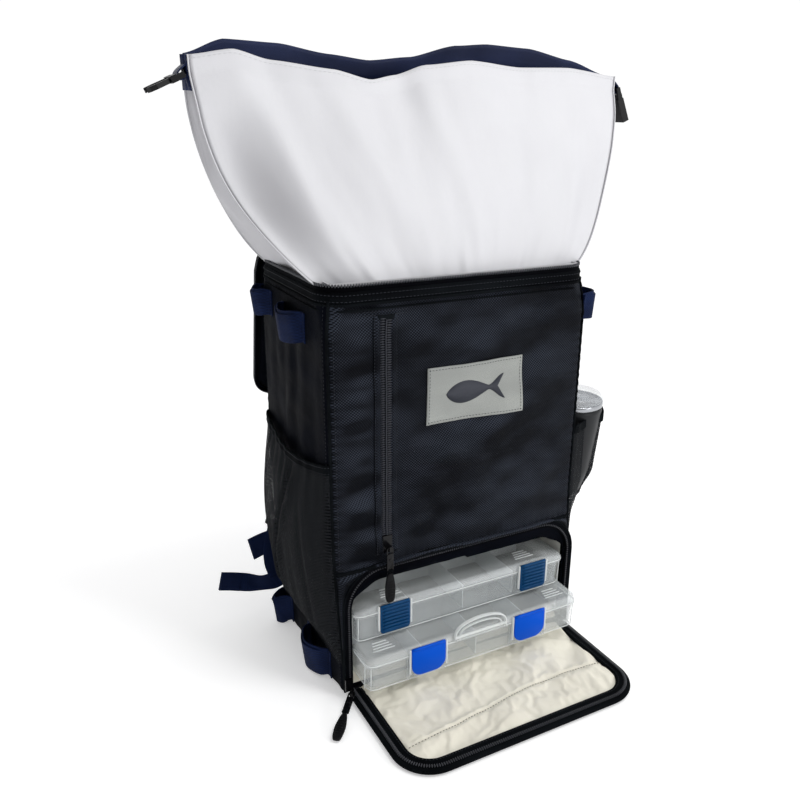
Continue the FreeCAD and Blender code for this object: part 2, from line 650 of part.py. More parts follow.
def shoulder_webbing(web_y):
    """Webbing below each shoulder pad, its ladder lock, and the anchors at the foot of the bag."""
    lock = VEC(LOCK_X, web_y, LOCK_Z)
    upper_web = [VEC(-120, web_y, 187.0), lock + VEC(9, 0, 18.5)]
    lower_web = [lock + VEC(-4, 0, -17), VEC(-168, web_y, 92), VEC(-160, web_y, 60)]
    web = strip(upper_web, STRAP_WEB_W, Y_AXIS, WEB_T)
    write("strap_webs", web, mirrored(web))
    frame = box(LOCK_X - LOCK_HALF_W, LOCK_X + LOCK_HALF_W, web_y - 2, web_y + 4,
                LOCK_Z - LOCK_HALF_H, LOCK_Z + LOCK_HALF_H)
    slot_half_w = STRAP_WEB_W / 2 + GAP
    slot = box(LOCK_X - slot_half_w, LOCK_X + slot_half_w, web_y - 3, web_y + 5, -3.0, 3.0)
    slot_offset = 8.5
    ladder = frame.cut([move(slot, z=LOCK_Z - slot_offset), move(slot, z=LOCK_Z + slot_offset)])
    ladder = turn(ladder, lock, Y_AXIS, LOCK_TILT)
    write("ladder_locks", ladder, mirrored(ladder))
    anchor = strip(lower_web, STRAP_WEB_W, Y_AXIS, WEB_T)
    tail_y = web_y + 3.0
    tail_route = [VEC(-160, tail_y, 72), VEC(-196, tail_y, 52), VEC(-230, tail_y, 57)]
    tail = strip(tail_route, TAIL_WEB_W, Y_AXIS, WEB_T)
    write("strap_anchors", anchor, mirrored(anchor), tail)


def main():
    os.makedirs("parts", exist_ok=True)
    base()
    front()
    sides_and_back()
    shelf_and_foam()
    tackle_bay()
    liner()
    mouth_bands()
    rim()
    lid()
    door()
    door_frame_tape()
    trays()
    roll_top_ends()
    front_pocket()
    pocket_slider()
    door_slider()
    side_pockets()
    tumbler()
    gear_loops()
    back_carry()


main()
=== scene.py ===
"""Looks of the tackle backpack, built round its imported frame. Lengths are millimetres until a mesh is made."""
import json
import math

import bpy
import numpy as np
from mathutils import Matrix, Vector, noise


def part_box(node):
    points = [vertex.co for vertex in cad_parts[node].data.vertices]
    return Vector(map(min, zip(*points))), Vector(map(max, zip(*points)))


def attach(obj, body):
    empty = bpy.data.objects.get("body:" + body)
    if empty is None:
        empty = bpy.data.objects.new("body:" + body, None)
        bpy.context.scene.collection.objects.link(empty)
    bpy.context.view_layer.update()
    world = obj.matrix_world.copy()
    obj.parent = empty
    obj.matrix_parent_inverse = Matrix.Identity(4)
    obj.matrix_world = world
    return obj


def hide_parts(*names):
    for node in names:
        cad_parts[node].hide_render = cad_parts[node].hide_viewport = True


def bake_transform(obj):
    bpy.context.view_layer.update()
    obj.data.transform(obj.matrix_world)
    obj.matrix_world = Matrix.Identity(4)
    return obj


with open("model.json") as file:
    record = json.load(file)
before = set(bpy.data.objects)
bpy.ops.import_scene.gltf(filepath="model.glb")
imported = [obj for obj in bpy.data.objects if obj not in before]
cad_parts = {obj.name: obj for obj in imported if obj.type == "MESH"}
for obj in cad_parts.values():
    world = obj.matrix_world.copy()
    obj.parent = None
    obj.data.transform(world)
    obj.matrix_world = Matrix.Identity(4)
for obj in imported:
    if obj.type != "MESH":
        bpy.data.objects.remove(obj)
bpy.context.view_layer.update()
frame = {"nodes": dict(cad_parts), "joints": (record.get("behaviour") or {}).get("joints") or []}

MM = 0.001
TAU = 2 * math.pi


def cad(node):
    """Lowest and highest corner of a CAD node, in millimetres."""
    low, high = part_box(node)
    return low / MM, high / MM


# ---- sizes, from the frame ----
SIDES_HIGH = cad("side_panels")[1]
HALF_W = SIDES_HIGH.x
HALF_D = cad("back_panel")[1].y
WALL_TOP = SIDES_HIGH.z
RIM = cad("rim_band")[1].z
SEAM = cad("front_panel")[0].z
DOOR_LOW, DOOR_HIGH = cad("door_shell")
DOOR_TOP = cad("door_lining")[1].z
BAY_X = (DOOR_LOW.x + DOOR_HIGH.x) / 2
DOOR_HALF_W = (DOOR_HIGH.x - DOOR_LOW.x) / 2
LINER_HIGH = cad("liner_bucket")[1]
MOUTH_HALF = cad("mouth_band_rear")[1].x + 2

# ---- sizes of stitches: length, gap and radius ----
SEAM_STITCH = (2.4, 1.2, 0.28)
FRONT_STITCH = (2.4, 1.4, 0.28)
CORNER_STITCH = (2.4, 1.6, 0.26)
PATCH_STITCH = (2.2, 1.4, 0.3)
MOUTH_STITCH = (3.0, 1.6, 0.22)
LINING_STITCH = (2.2, 1.6, 0.5)
BOX_STITCH = (2.2, 1.0, 0.25)

# ---- sizes of what is only seen ----
CORNER = 11.0
SEAM_S_FRONT = HALF_W - CORNER + CORNER * math.pi / 4
SEAM_S_SIDE = HALF_D - CORNER + CORNER * math.pi / 4
LEAN = 9.0
LEAN_TOP = 205.0
PIPING_R = 1.7
PIPING_SIDES = 8
WEAVE_PITCH = 3.0
CLOTH = 1.6
NET = 0.5
NARROW_WEB = 25
DOOR_CORNER = 42.0
DOOR_RIM = 15.0
DOOR_X = BAY_X + 2.0
DOOR_HALF = DOOR_HALF_W + 7.0
DOOR_NEAR, DOOR_FAR = DOOR_HIGH.y, DOOR_LOW.y - 11.0


# ---------------------------------------------------------------- camera, lights and floor

AZIMUTH, ELEVATION, ROLL = (math.radians(a) for a in (-29.2146, 20.2271, 0.8877))
VIEW_CENTRE = (0.0142, 0, 0.2749)
VIEW_DISTANCE = 0.9733
LENS, SHIFT_X, SHIFT_Y = 37.061, -0.0394, 0.0200
FLOOR_REACH = 40.0
FLOOR_COLOUR, FLOOR_GLOW = (0.93, 0.93, 0.935, 1), 0.33
DARK_SIDE = (-0.85, -0.53, 0.0)
WORLD_FADE = {"From Min": -0.35, "From Max": 0.75, "To Min": 1.03, "To Max": 0.30}
LIGHTS = (("key", (1.15, -2.1, 0.75), 0.45, 11), ("top", (0.6, -0.9, 2.2), 0.6, 13))
LIGHT_AIM = Vector((0, 0, 0.3))


def linked(name, data):
    """A new object in the scene."""
    obj = bpy.data.objects.new(name, data)
    bpy.context.scene.collection.objects.link(obj)
    return obj


def add_camera():
    """A camera a little above the bag and to its left."""
    back = Vector((math.sin(AZIMUTH) * math.cos(ELEVATION),
                   -math.cos(AZIMUTH) * math.cos(ELEVATION), math.sin(ELEVATION)))
    right = (-back).cross(Vector((0, 0, 1))).normalized()
    up = right.cross(-back)
    turned = right * math.cos(ROLL) + up * math.sin(ROLL)
    upright_axis = up * math.cos(ROLL) - right * math.sin(ROLL)
    matrix = Matrix((turned, upright_axis, back)).transposed().to_4x4()
    matrix.translation = back * VIEW_DISTANCE + Vector(VIEW_CENTRE)
    data = bpy.data.cameras.new("camera")
    data.lens, data.shift_x, data.shift_y = LENS, SHIFT_X, SHIFT_Y
    data.clip_start = 0.01
    camera = linked("camera", data)
    camera.matrix_world = matrix
    bpy.context.scene.camera = camera


def add_floor():
    """Pale floor."""
    mesh = bpy.data.meshes.new("floor")
    corners = ((-1, -1), (1, -1), (1, 1), (-1, 1))
    mesh.from_pydata([(x * FLOOR_REACH, y * FLOOR_REACH, 0) for x, y in corners], [], [(0, 1, 2, 3)])
    floor = linked("floor", mesh)
    paint = bpy.data.materials.new("floor")
    paint.use_nodes = True
    sockets = paint.node_tree.nodes["Principled BSDF"].inputs
    sockets["Base Color"].default_value = FLOOR_COLOUR
    sockets["Roughness"].default_value = 0.9
    sockets["Emission Color"].default_value = (1, 1, 1, 1)
    sockets["Emission Strength"].default_value = FLOOR_GLOW
    mesh.materials.append(paint)


def add_lights():
    """White surroundings that fade towards the bag's shaded side, and two soft lights."""
    scene = bpy.context.scene
    world = bpy.data.worlds.new("studio")
    world.use_nodes = True
    tree = world.node_tree
    background = tree.nodes["Background"]
    background.inputs["Color"].default_value = (1, 1, 1, 1)
    way = tree.nodes.new("ShaderNodeTexCoord")
    facing = tree.nodes.new("ShaderNodeVectorMath")
    facing.operation = "DOT_PRODUCT"
    facing.inputs[1].default_value = DARK_SIDE
    ramp = tree.nodes.new("ShaderNodeMapRange")
    for key, value in WORLD_FADE.items():
        ramp.inputs[key].default_value = value
    tree.links.new(way.outputs["Generated"], facing.inputs[0])
    tree.links.new(facing.outputs["Value"], ramp.inputs["Value"])
    tree.links.new(ramp.outputs["Result"], background.inputs["Strength"])
    scene.world = world
    scene.view_settings.view_transform = "Standard"
    for name, place, size, power in LIGHTS:
        data = bpy.data.lights.new(name, "AREA")
        data.shape = "DISK"
        data.size = size
        data.energy = power
        light = linked(name, data)
        light.location = place
        light.rotation_euler = (LIGHT_AIM - light.location).to_track_quat("-Z", "Y").to_euler()


# ---------------------------------------------------------------- materials

class Paint:
    """One node material: constants go on the shader's sockets, and patterns are added with math()."""

    def __init__(self, name, colour, **sockets):
        self.material = bpy.data.materials.new(name)
        self.material.use_nodes = True
        self.tree = self.material.node_tree
        self.bsdf = self.tree.nodes["Principled BSDF"]
        self.bsdf.inputs["Base Color"].default_value = (*colour, 1)
        for key, value in sockets.items():
            self.bsdf.inputs[key.replace("_", " ")].default_value = value
        self.height = None

    def node(self, kind, **values):
        node = self.tree.nodes.new(kind)
        for key, value in values.items():
            setattr(node, key, value)
        return node

    def math(self, operation, a, b=None, c=None):
        node = self.node("ShaderNodeMath", operation=operation)
        for slot, value in enumerate((a, b, c)):
            if value is None:
                continue
            if isinstance(value, (int, float)):
                node.inputs[slot].default_value = value
            else:
                self.tree.links.new(value, node.inputs[slot])
        return node.outputs[0]

    def split(self, kind, output):
        """The x, y and z of a node's vector."""
        source = self.node(kind)
        split = self.node("ShaderNodeSeparateXYZ")
        self.tree.links.new(source.outputs[output], split.inputs[0])
        return split.outputs

    def normal(self):
        """The way the surface faces, as x, y and z."""
        return self.split("ShaderNodeNewGeometry", "Normal")

    def noise(self, scale, detail, stretch=(1, 1, 1)):
        """Smooth noise from 0 to 1; scale is in features per metre."""
        place = self.node("ShaderNodeTexCoord")
        mapping = self.node("ShaderNodeMapping")
        mapping.inputs["Scale"].default_value = stretch
        texture = self.node("ShaderNodeTexNoise")
        texture.inputs["Scale"].default_value = scale
        texture.inputs["Detail"].default_value = detail
        self.tree.links.new(place.outputs["Object"], mapping.inputs["Vector"])
        self.tree.links.new(mapping.outputs[0], texture.inputs["Vector"])
        return texture.outputs[0]

    def blend_colour(self, factor, low, high):
        """Base colour from low to high by a factor."""
        mix = self.node("ShaderNodeMix", data_type="RGBA")
        mix.inputs[6].default_value = (*low, 1)
        mix.inputs[7].default_value = (*high, 1)
        self.tree.links.new(factor, mix.inputs[0])
        self.tree.links.new(mix.outputs[2], self.bsdf.inputs["Base Color"])

    def bump(self, height, distance, strength=1.0):
        """Adds a bump of a depth in millimetres on top of those before it."""
        node = self.node("ShaderNodeBump")
        node.inputs["Strength"].default_value = strength
        node.inputs["Distance"].default_value = distance * MM
        self.tree.links.new(height, node.inputs["Height"])
        if self.height is not None:
            self.tree.links.new(self.height, node.inputs["Normal"])
        self.height = node.outputs[0]
        self.tree.links.new(self.height, self.bsdf.inputs["Normal"])

    def rough(self, factor, low, high):
        """Roughness from low to high by a factor."""
        span = self.math("MULTIPLY", factor, high - low)
        self.tree.links.new(self.math("ADD", span, low), self.bsdf.inputs["Roughness"])

    def weave(self, pitch, flat=False):
        """Crossed threads as bumps from 0 to 1, in the piece's own axes, on upright faces or on flat ones."""
        x, y, z = self.split("ShaderNodeTexCoord", "Object")
        across = x if flat else self.math("ADD", x, y)
        along = y if flat else z
        turns = TAU / (pitch * MM)
        wave_a = self.math("SINE", self.math("MULTIPLY", across, turns))
        wave_b = self.math("SINE", self.math("MULTIPLY", along, turns))
        product = self.math("MULTIPLY", wave_a, wave_b)
        return self.math("MULTIPLY_ADD", product, 0.5, 0.5)


def woven(name, dark, light, pitch, flat=False, depth=0.25, crease=0.5, roughness=(0.36, 0.5), gloss=0.16,
          tilt=0.0):
    """Plain woven cloth with small creases and a faint patchiness, partly painted fold highlight; tilt paints
    light where it faces up and shade where it faces down.
    """
    paint = Paint(name, light, Specular_IOR_Level=gloss)
    threads = paint.weave(pitch, flat)
    # faint random patchiness, drawn out sideways into streaks that partly stand in for painted fold highlights;
    # it also sets the roughness
    patches = paint.noise(17, 4, (0.6, 1, 1.9))
    patchiness_and_painted_light = paint.math("MAXIMUM", paint.math("MULTIPLY_ADD", patches, 1.9, -0.42), 0.15)
    # painted light and shade: with tilt the colour is lightened where the cloth faces up and darkened where it
    # faces down
    if tilt:
        raised = paint.math("MAXIMUM", paint.math("MULTIPLY_ADD", paint.normal()[2], tilt, 0.85), 0.25)
        patchiness_and_painted_light = paint.math("MULTIPLY", patchiness_and_painted_light, paint.math("MINIMUM", raised, 2.6))
    shade = paint.math("MULTIPLY", paint.math("POWER", threads, 2.0), patchiness_and_painted_light)
    paint.blend_colour(paint.math("MULTIPLY", shade, 1.6), dark, light)
    paint.rough(patches, *roughness)
    paint.bump(paint.noise(30, 3, (1, 1, 1.8)), crease)
    paint.bump(threads, depth, 0.9)
    return paint.material


def coated(name, base, shade, crease, roughness=0.5, sides=0.0):
    """Smooth coated cloth with soft creases and a faint stain, with painted shade that greys it where it faces
    sideways.
    """
    paint = Paint(name, base, Specular_IOR_Level=0.2)
    stain_and_painted_shade = paint.noise(9, 4)
    # painted shade: where sides is set, the colour is drawn towards the shade colour as the cloth turns sideways
    if sides:
        turned = paint.math("POWER", paint.math("ABSOLUTE", paint.normal()[0]), 1.5)
        stain_and_painted_shade = paint.math("MULTIPLY_ADD", turned, -sides, paint.math("MULTIPLY_ADD", stain_and_painted_shade, 0.2, 0.8))
    paint.blend_colour(stain_and_painted_shade, shade, base)
    paint.rough(paint.noise(30, 2), roughness - 0.08, roughness + 0.1)
    paint.bump(paint.noise(26, 4, (1, 1, 0.7)), crease)
    paint.bump(paint.weave(0.9), 0.05)
    return paint.material


def webbing_paint(name, dark, light):
    """Navy webbing with a ribbed weave."""
    paint = Paint(name, light, Specular_IOR_Level=0.06)
    ribs = paint.weave(3.2)
    fine = paint.weave(0.8)
    both = paint.math("MULTIPLY_ADD", fine, 0.4, paint.math("MULTIPLY", ribs, 0.6))
    paint.blend_colour(paint.math("MULTIPLY", both, paint.noise(40, 3)), dark, light)
    paint.rough(both, 0.55, 0.8)
    paint.bump(both, 0.35)
    return paint.material


def netting(name, colour, pitch, hole):
    """Stretch mesh: staggered rows of small holes cut by transparency."""
    paint = Paint(name, colour, Roughness=0.7, Specular_IOR_Level=0.04)
    cells = paint.weave(pitch)
    edge = paint.math("SUBTRACT", cells, hole)
    solid = paint.math("MULTIPLY", edge, -9.0)
    opaque = paint.math("MINIMUM", paint.math("MAXIMUM", paint.math("ADD", solid, 0.5), 0.0), 1.0)
    paint.tree.links.new(opaque, paint.bsdf.inputs["Alpha"])
    paint.bump(cells, 0.3)
    return paint.material


def plastic(name, colour, roughness, bump=0.02, **sockets):
    """Moulded plastic or rubber with a fine grain."""
    paint = Paint(name, colour, **sockets)
    grain = paint.noise(900, 2)
    paint.rough(grain, roughness * 0.85, roughness * 1.15)
    paint.bump(grain, bump)
    return paint.material


def frosted(name, colour, alpha):
    """Clear polypropylene: milky, and a little uneven in gloss."""
    paint = Paint(name, colour, IOR=1.49, Specular_IOR_Level=0.5, Alpha=alpha)
    paint.rough(paint.noise(14, 3), 0.14, 0.3)
    return paint.material


NAVY_DARK = (0.003, 0.005, 0.018)
NAVY = (0.016, 0.036, 0.130)
MATERIALS = {
    # the nylon's tilt paints light on up-facing folds and shade on down-facing ones
    "nylon": woven("nylon", (0.0006, 0.0009, 0.002), (0.032, 0.038, 0.053), WEAVE_PITCH, depth=0.45, crease=2.2,
                   gloss=0.04, tilt=6.0),
    "nylon_flat": woven("nylon_flat", (0.0008, 0.001, 0.002), (0.030, 0.034, 0.050), WEAVE_PITCH, flat=True,
                        gloss=0.07),
    "side_cloth": woven("side_cloth", (0.0008, 0.001, 0.002), (0.0045, 0.0062, 0.0125), 0.9, depth=0.08,
                        crease=1.6, roughness=(0.5, 0.65), gloss=0.015),
    "binding": woven("binding", (0.001, 0.001, 0.0015), (0.013, 0.0165, 0.0195), 1.0, depth=0.2, crease=0.2,
                     roughness=(0.6, 0.75), gloss=0.01),
    "zip_tape": woven("zip_tape", (0.001, 0.001, 0.0015), (0.006, 0.007, 0.010), 0.8, depth=0.15, crease=0.1,
                      roughness=(0.6, 0.75), gloss=0.01),
    "thread": plastic("thread", (0.022, 0.024, 0.032), 0.6, Specular_IOR_Level=0.2),
    "pale_thread": plastic("pale_thread", (0.30, 0.30, 0.29), 0.6),
    "coil": plastic("coil", (0.016, 0.018, 0.026), 0.35, Specular_IOR_Level=0.3),
    "teeth": plastic("teeth", (0.045, 0.047, 0.055), 0.35, Specular_IOR_Level=0.3),
    "white_thread": plastic("white_thread", (0.58, 0.58, 0.60), 0.6),
    "seam_thread": plastic("seam_thread", (0.26, 0.25, 0.22), 0.6),
    # the liner's sides paint shade wherever it faces sideways, as on the collar's gussets
    "liner": coated("liner", (0.72, 0.72, 0.745), (0.36, 0.355, 0.38), 0.9, sides=0.75),
    "cream": coated("cream", (0.93, 0.90, 0.79), (0.82, 0.78, 0.66), 1.4, 0.42),
    "shaded_cream": coated("shaded_cream", (0.66, 0.66, 0.62), (0.56, 0.55, 0.51), 1.4, 0.6),
    "webbing": webbing_paint("webbing", NAVY_DARK, NAVY),
    "band": woven("band", (0.004, 0.008, 0.032), (0.024, 0.038, 0.120), 0.9, depth=0.12, crease=0.3),
    "net": netting("net", (0.014, 0.0155, 0.018), 3.6, 0.56),
    "patch": woven("patch", (0.25, 0.26, 0.25), (0.44, 0.455, 0.43), 0.7, depth=0.05, crease=0.15),
    "ink": plastic("ink", (0.015, 0.018, 0.03), 0.6),
    "clear": frosted("clear", (0.93, 0.97, 0.98), 0.26),
    "clear_edge": frosted("clear_edge", (0.95, 0.98, 0.98), 0.50),
    "latch_navy": plastic("latch_navy", (0.002, 0.050, 0.150), 0.3, Specular_IOR_Level=0.12),
    "latch_blue": plastic("latch_blue", (0.0, 0.085, 0.62), 0.3, Specular_IOR_Level=0.08),
    "buckle": plastic("buckle", (0.004, 0.004, 0.005), 0.4, Specular_IOR_Level=0.2),
    "gloss_black": plastic("gloss_black", (0.003, 0.003, 0.004), 0.2, Specular_IOR_Level=0.22),
    "grip": plastic("grip", (0.004, 0.004, 0.005), 0.5, bump=0.05, Specular_IOR_Level=0.12),
    "cup": plastic("cup", (0.010, 0.011, 0.013), 0.42, bump=0.05, Specular_IOR_Level=0.2),
    "steel": plastic("steel", (0.35, 0.36, 0.38), 0.25, Metallic=1.0),
    "clear_lid": frosted("clear_lid", (0.70, 0.74, 0.78), 0.22),
    "dividers": plastic("dividers", (0.66, 0.70, 0.72), 0.4, Specular_IOR_Level=0.3),
}


# ---------------------------------------------------------------- mesh helpers

def smoothstep(t):
    t = min(1.0, max(0.0, t))
    return t * t * (3 - 2 * t)


def soft(a, b, c=0.0):
    """Smooth noise from about -1 to 1."""
    return noise.noise(Vector((a, b, c)))


def piece(name, geometry, body, material, hides=(), thick=0.0, rounds=0):
    """One Blender object from (points, faces) in millimetres, riding on a CAD body."""
    points, faces = geometry
    mesh = bpy.data.meshes.new(name)
    mesh.from_pydata((np.asarray(points, float) * MM).tolist(), [], faces)
    mesh.validate()
    mesh.polygons.foreach_set("use_smooth", [True] * len(mesh.polygons))
    mesh.materials.append(MATERIALS[material])
    obj = linked(name, mesh)
    if thick:
        solid = obj.modifiers.new("thickness", "SOLIDIFY")
        solid.thickness = thick * MM
        solid.offset = -1.0
    if rounds:
        subdivision = obj.modifiers.new("rounding", "SUBSURF")
        subdivision.levels = rounds
        subdivision.render_levels = rounds
    if body:
        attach(obj, body)
    if hides:
        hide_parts(*hides)
    return obj


def join(*geometries):
    """Several (points, faces) as one."""
    points, faces, start = [], [], 0
    for some_points, some_faces in geometries:
        points.append(np.asarray(some_points, float))
        faces += [tuple(i + start for i in face) for face in some_faces]
        start += len(some_points)
    return np.concatenate(points), faces


def surface(fn, columns, rows, wrap=False):
    """A patch of quads from fn(u, v), with u and v from 0 to 1; u closes on itself if wrap is set."""
    across = columns if wrap else columns + 1
    points = [fn(i / columns, j / rows) for j in range(rows + 1) for i in range(across)]
    faces = []
    for j in range(rows):
        for i in range(columns):
            a, b = j * across + i, j * across + (i + 1) % across
            faces.append((a, b, b + across, a + across))
    return points, faces


def rounded(half_a, half_b, radius, steps=5):
    """A rounded rectangle as a list of pairs, anticlockwise."""
    corners = ((half_a - radius, half_b - radius, 0), (radius - half_a, half_b - radius, 1),
               (radius - half_a, radius - half_b, 2), (half_a - radius, radius - half_b, 3))
    outline = []
    for a, b, quarter in corners:
        outline += arc((a, b), radius, quarter, 1, steps)
    return outline


def arc(centre, radius, start, turn, steps):
    """A quarter circle as a list of pairs; start is in quarter turns, and turn is 1 or -1."""
    angles = [(start + turn * k / steps) * math.pi / 2 for k in range(steps + 1)]
    return [(centre[0] + radius * math.cos(angle), centre[1] + radius * math.sin(angle)) for angle in angles]


def circle(radius, sides):
    """A circle as a list of pairs."""
    return [(radius * math.cos(TAU * k / sides), radius * math.sin(TAU * k / sides)) for k in range(sides)]


def spline(points, per):
    """A smooth line through points (Catmull-Rom)."""
    route = [np.array(p, float) for p in points]
    route = [2 * route[0] - route[1]] + route + [2 * route[-1] - route[-2]]
    line = []
    for p0, p1, p2, p3 in zip(route, route[1:], route[2:], route[3:]):
        for k in range(per):
            t = k / per
            line.append(0.5 * (2 * p1 + (p2 - p0) * t + (2 * p0 - 5 * p1 + 4 * p2 - p3) * t * t
                               + (3 * p1 - p0 - 3 * p2 + p3) * t ** 3))
    line.append(route[-2])
    return line


def even(line, step):
    """The same line with its points an even step apart."""
    line = np.array(line, float)
    runs = np.linalg.norm(np.diff(line, axis=0), axis=1)
    at = np.concatenate([[0], np.cumsum(runs)])
    count = max(2, int(round(at[-1] / step)) + 1)
    spots = np.linspace(0, at[-1], count)
    return np.stack([np.interp(spots, at, line[:, k]) for k in range(3)], 1)


def frames_along(line, across, closed=False):
    """A frame (point, across, normal) at each point of a line; across may be a vector or one per point."""
    line = np.array(line, float)
    if closed:
        run = np.roll(line, -1, 0) - np.roll(line, 1, 0)
    else:
        run = np.gradient(line, axis=0)
    run /= np.linalg.norm(run, axis=1)[:, None]
    hints = np.array(across, float)
    if hints.ndim == 1:
        hints = np.repeat(hints[None], len(line), 0)
    frames = []
    for point, t, hint in zip(line, run, hints):
        a = hint - t * hint.dot(t)
        a /= np.linalg.norm(a)
        frames.append((point, a, np.cross(t, a)))
    return frames


def sweep(frames, section, closed=False):
    """A tube: a section of pairs placed at every frame, with flat ends unless it closes."""
    count, sides = len(frames), len(section)
    points = [o + a * p + b * q for o, a, b in frames for p, q in section]
    faces = []
    for j in range(count if closed else count - 1):
        for i in range(sides):
            k, m = (i + 1) % sides, (j + 1) % count
            faces.append((j * sides + i, m * sides + i, m * sides + k, j * sides + k))
    if not closed:
        faces.append(tuple(range(sides)))
        faces.append(tuple(reversed(range((count - 1) * sides, count * sides))))
    return points, faces


def stacked_faces(count, rings, foot=True):
    """Faces between rings of points, closed by the last ring and, if foot is set, by the first."""
    faces = []
    for j in range(rings - 1):
        for i in range(count):
            k = (i + 1) % count
            faces.append((j * count + i, j * count + k, (j + 1) * count + k, (j + 1) * count + i))
    if foot:
        faces.append(tuple(reversed(range(count))))
    faces.append(tuple(range((rings - 1) * count, rings * count)))
    return faces


def as_is(a, b, c):
    return (a, b, c)


def plate(outline, low, high, bevel, place):
    """A plate with rounded edges from an outline of pairs; place(a, b, c) gives its point."""
    outline = np.array(outline, float)
    run = np.roll(outline, -1, 0) - np.roll(outline, 1, 0)
    run /= np.linalg.norm(run, axis=1)[:, None]
    inward = np.stack([-run[:, 1], run[:, 0]], 1)
    levels = []
    for angle in (0, math.pi / 4, math.pi / 2):
        levels.append((bevel * (1 - math.sin(angle)), low + bevel * (1 - math.cos(angle))))
    levels += [(inset, high + low - c) for inset, c in reversed(levels)]
    points = [place(*(p + n * inset), c) for inset, c in levels for p, n in zip(outline, inward)]
    return points, stacked_faces(len(outline), len(levels))


def beads(spots, half_length, radius, height=None):
    """Small rounded bars, one at each (centre, axis, normal)."""
    sides = 6
    rings = ((-1.0, 0.0), (-0.8, 0.75), (0.0, 1.0), (0.8, 0.75), (1.0, 0.0))
    height = radius if height is None else height
    points, faces = [], []
    for centre, axis, normal in spots:
        side = np.cross(axis, normal)
        start = len(points)
        for along, wide in rings:
            for k in range(sides):
                angle = TAU * k / sides
                points.append(centre + axis * (along * half_length)
                              + side * (radius * wide * math.cos(angle))
                              + normal * (height * wide * math.sin(angle)))
        for j in range(len(rings) - 1):
            for k in range(sides):
                a, b = start + j * sides + k, start + j * sides + (k + 1) % sides
                faces.append((a, b, b + sides, a + sides))
    return points, faces


def stitches(line, across, length, gap, radius, lift=0.15):
    """Thread along a line: one small bar for each stitch. The frame's normal is the cloth's outside."""
    frames = frames_along(even(line, length + gap), across)
    spots = [(o + b * lift, np.cross(a, b), b) for o, a, b in frames]
    return beads(spots, length / 2, radius)


def coil(line, across, width, pitch, lift, height):
    """A zip's coil: bars from each side of the line, set between each other."""
    frames = frames_along(even(line, pitch), across)
    spots = []
    for o, a, b in frames:
        for side in (-1, 1):
            along = np.cross(a, b) * (pitch / 4 * side)
            spots.append((o + a * (side * width * 0.27) + b * lift + along, a, b))
    return beads(spots, width * 0.27, pitch * 0.40, height)


def crossbars(line, step, across, half_length, radius, height):
    """Teeth of a zip: bars standing off a line, an even step apart."""
    spots = [(o, b, a) for o, a, b in frames_along(even(line, step), across)]
    return beads(spots, half_length, radius, height)


def joint_place(name):
    """A point on a joint's axis, in millimetres."""
    return next(np.array(joint["pos_m"]) / MM for joint in frame["joints"] if joint["name"] == name)


def repaint(node, material, edge=0.0):
    """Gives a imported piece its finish, with softened edges if edge is set."""
    obj = frame["nodes"][node]
    obj.data.materials.clear()
    obj.data.materials.append(MATERIALS[material])
    if edge:
        bevel = obj.modifiers.new("soft_edges", "BEVEL")
        bevel.width = edge * MM
        bevel.segments = 3
        bevel.limit_method = "ANGLE"


def apply_modifiers(obj):
    """The object's mesh as its modifiers leave it."""
    graph = bpy.context.evaluated_depsgraph_get()
    mesh = bpy.data.meshes.new_from_object(obj.evaluated_get(graph))
    obj.modifiers.clear()
    obj.data = mesh


def puff(obj, voxel, pressure, cap):
    """Inflates a closed piece as stuffed cloth; no point moves further than the cap."""
    remesh = obj.modifiers.new("remesh", "REMESH")
    remesh.mode = "VOXEL"
    remesh.voxel_size = voxel * MM
    apply_modifiers(obj)
    obj.data.polygons.foreach_set("use_smooth", [True] * len(obj.data.polygons))
    simulate(obj, pressure, cap, shrink=0.0, steps=20)
    rounding = obj.modifiers.new("rounding", "SUBSURF")
    rounding.levels = 1
    rounding.render_levels = 1


def simulate(obj, pressure, cap, shrink, steps, pins=None):
    """Cloth simulation with no gravity; its result is written back within the cap."""
    scene = bpy.context.scene
    rest = np.array([v.co for v in obj.data.vertices], float)
    cloth = obj.modifiers.new("cloth", "CLOTH")
    cloth.settings.quality = 5
    cloth.settings.mass = 0.3
    cloth.settings.tension_stiffness = 15
    cloth.settings.compression_stiffness = 15
    cloth.settings.bending_stiffness = 0.4
    cloth.settings.use_pressure = True
    cloth.settings.uniform_pressure_force = pressure
    cloth.settings.shrink_min = shrink
    cloth.settings.effector_weights.gravity = 0
    cloth.collision_settings.use_collision = False
    if pins is not None:
        group = obj.vertex_groups.new(name="pins")
        group.add(pins, 1.0, "REPLACE")
        cloth.settings.vertex_group_mass = "pins"
    cloth.point_cache.frame_start = 1
    cloth.point_cache.frame_end = steps
    for step in range(1, steps + 1):
        scene.frame_set(step)
    graph = bpy.context.evaluated_depsgraph_get()
    result = obj.evaluated_get(graph).to_mesh()
    moved = np.array([v.co for v in result.vertices], float) - rest
    obj.modifiers.remove(cloth)
    length = np.linalg.norm(moved, axis=1)[:, None]
    limit = cap * MM
    moved *= np.minimum(1.0, limit / np.maximum(length, 1e-9))
    moved[~np.isfinite(moved)] = 0
    obj.data.vertices.foreach_set("co", (rest + moved).ravel())
    obj.data.update()
    scene.frame_set(1)


# ---------------------------------------------------------------- the bag's soft shell

FACES = ("front", "right", "back", "left")
FACE_HALF = {"front": (HALF_W, HALF_D), "back": (HALF_W, HALF_D),
             "left": (HALF_D, HALF_W), "right": (HALF_D, HALF_W)}
SEAM_S = {"front": SEAM_S_FRONT, "back": SEAM_S_FRONT, "left": SEAM_S_SIDE, "right": SEAM_S_SIDE}
FOOT_RADIUS = 7.0
CORNER_GROWTH, GROWTH_FOOT, GROWTH_RISE = 17.0, 405, 50
ZIP_X = sum(cad("pocket_zip_tape")[k].x for k in (0, 1)) / 2


def lean(z):
    """The soft lower part stands a little to the right of the rim."""
    return LEAN * smoothstep((LEAN_TOP - z) / LEAN_TOP)


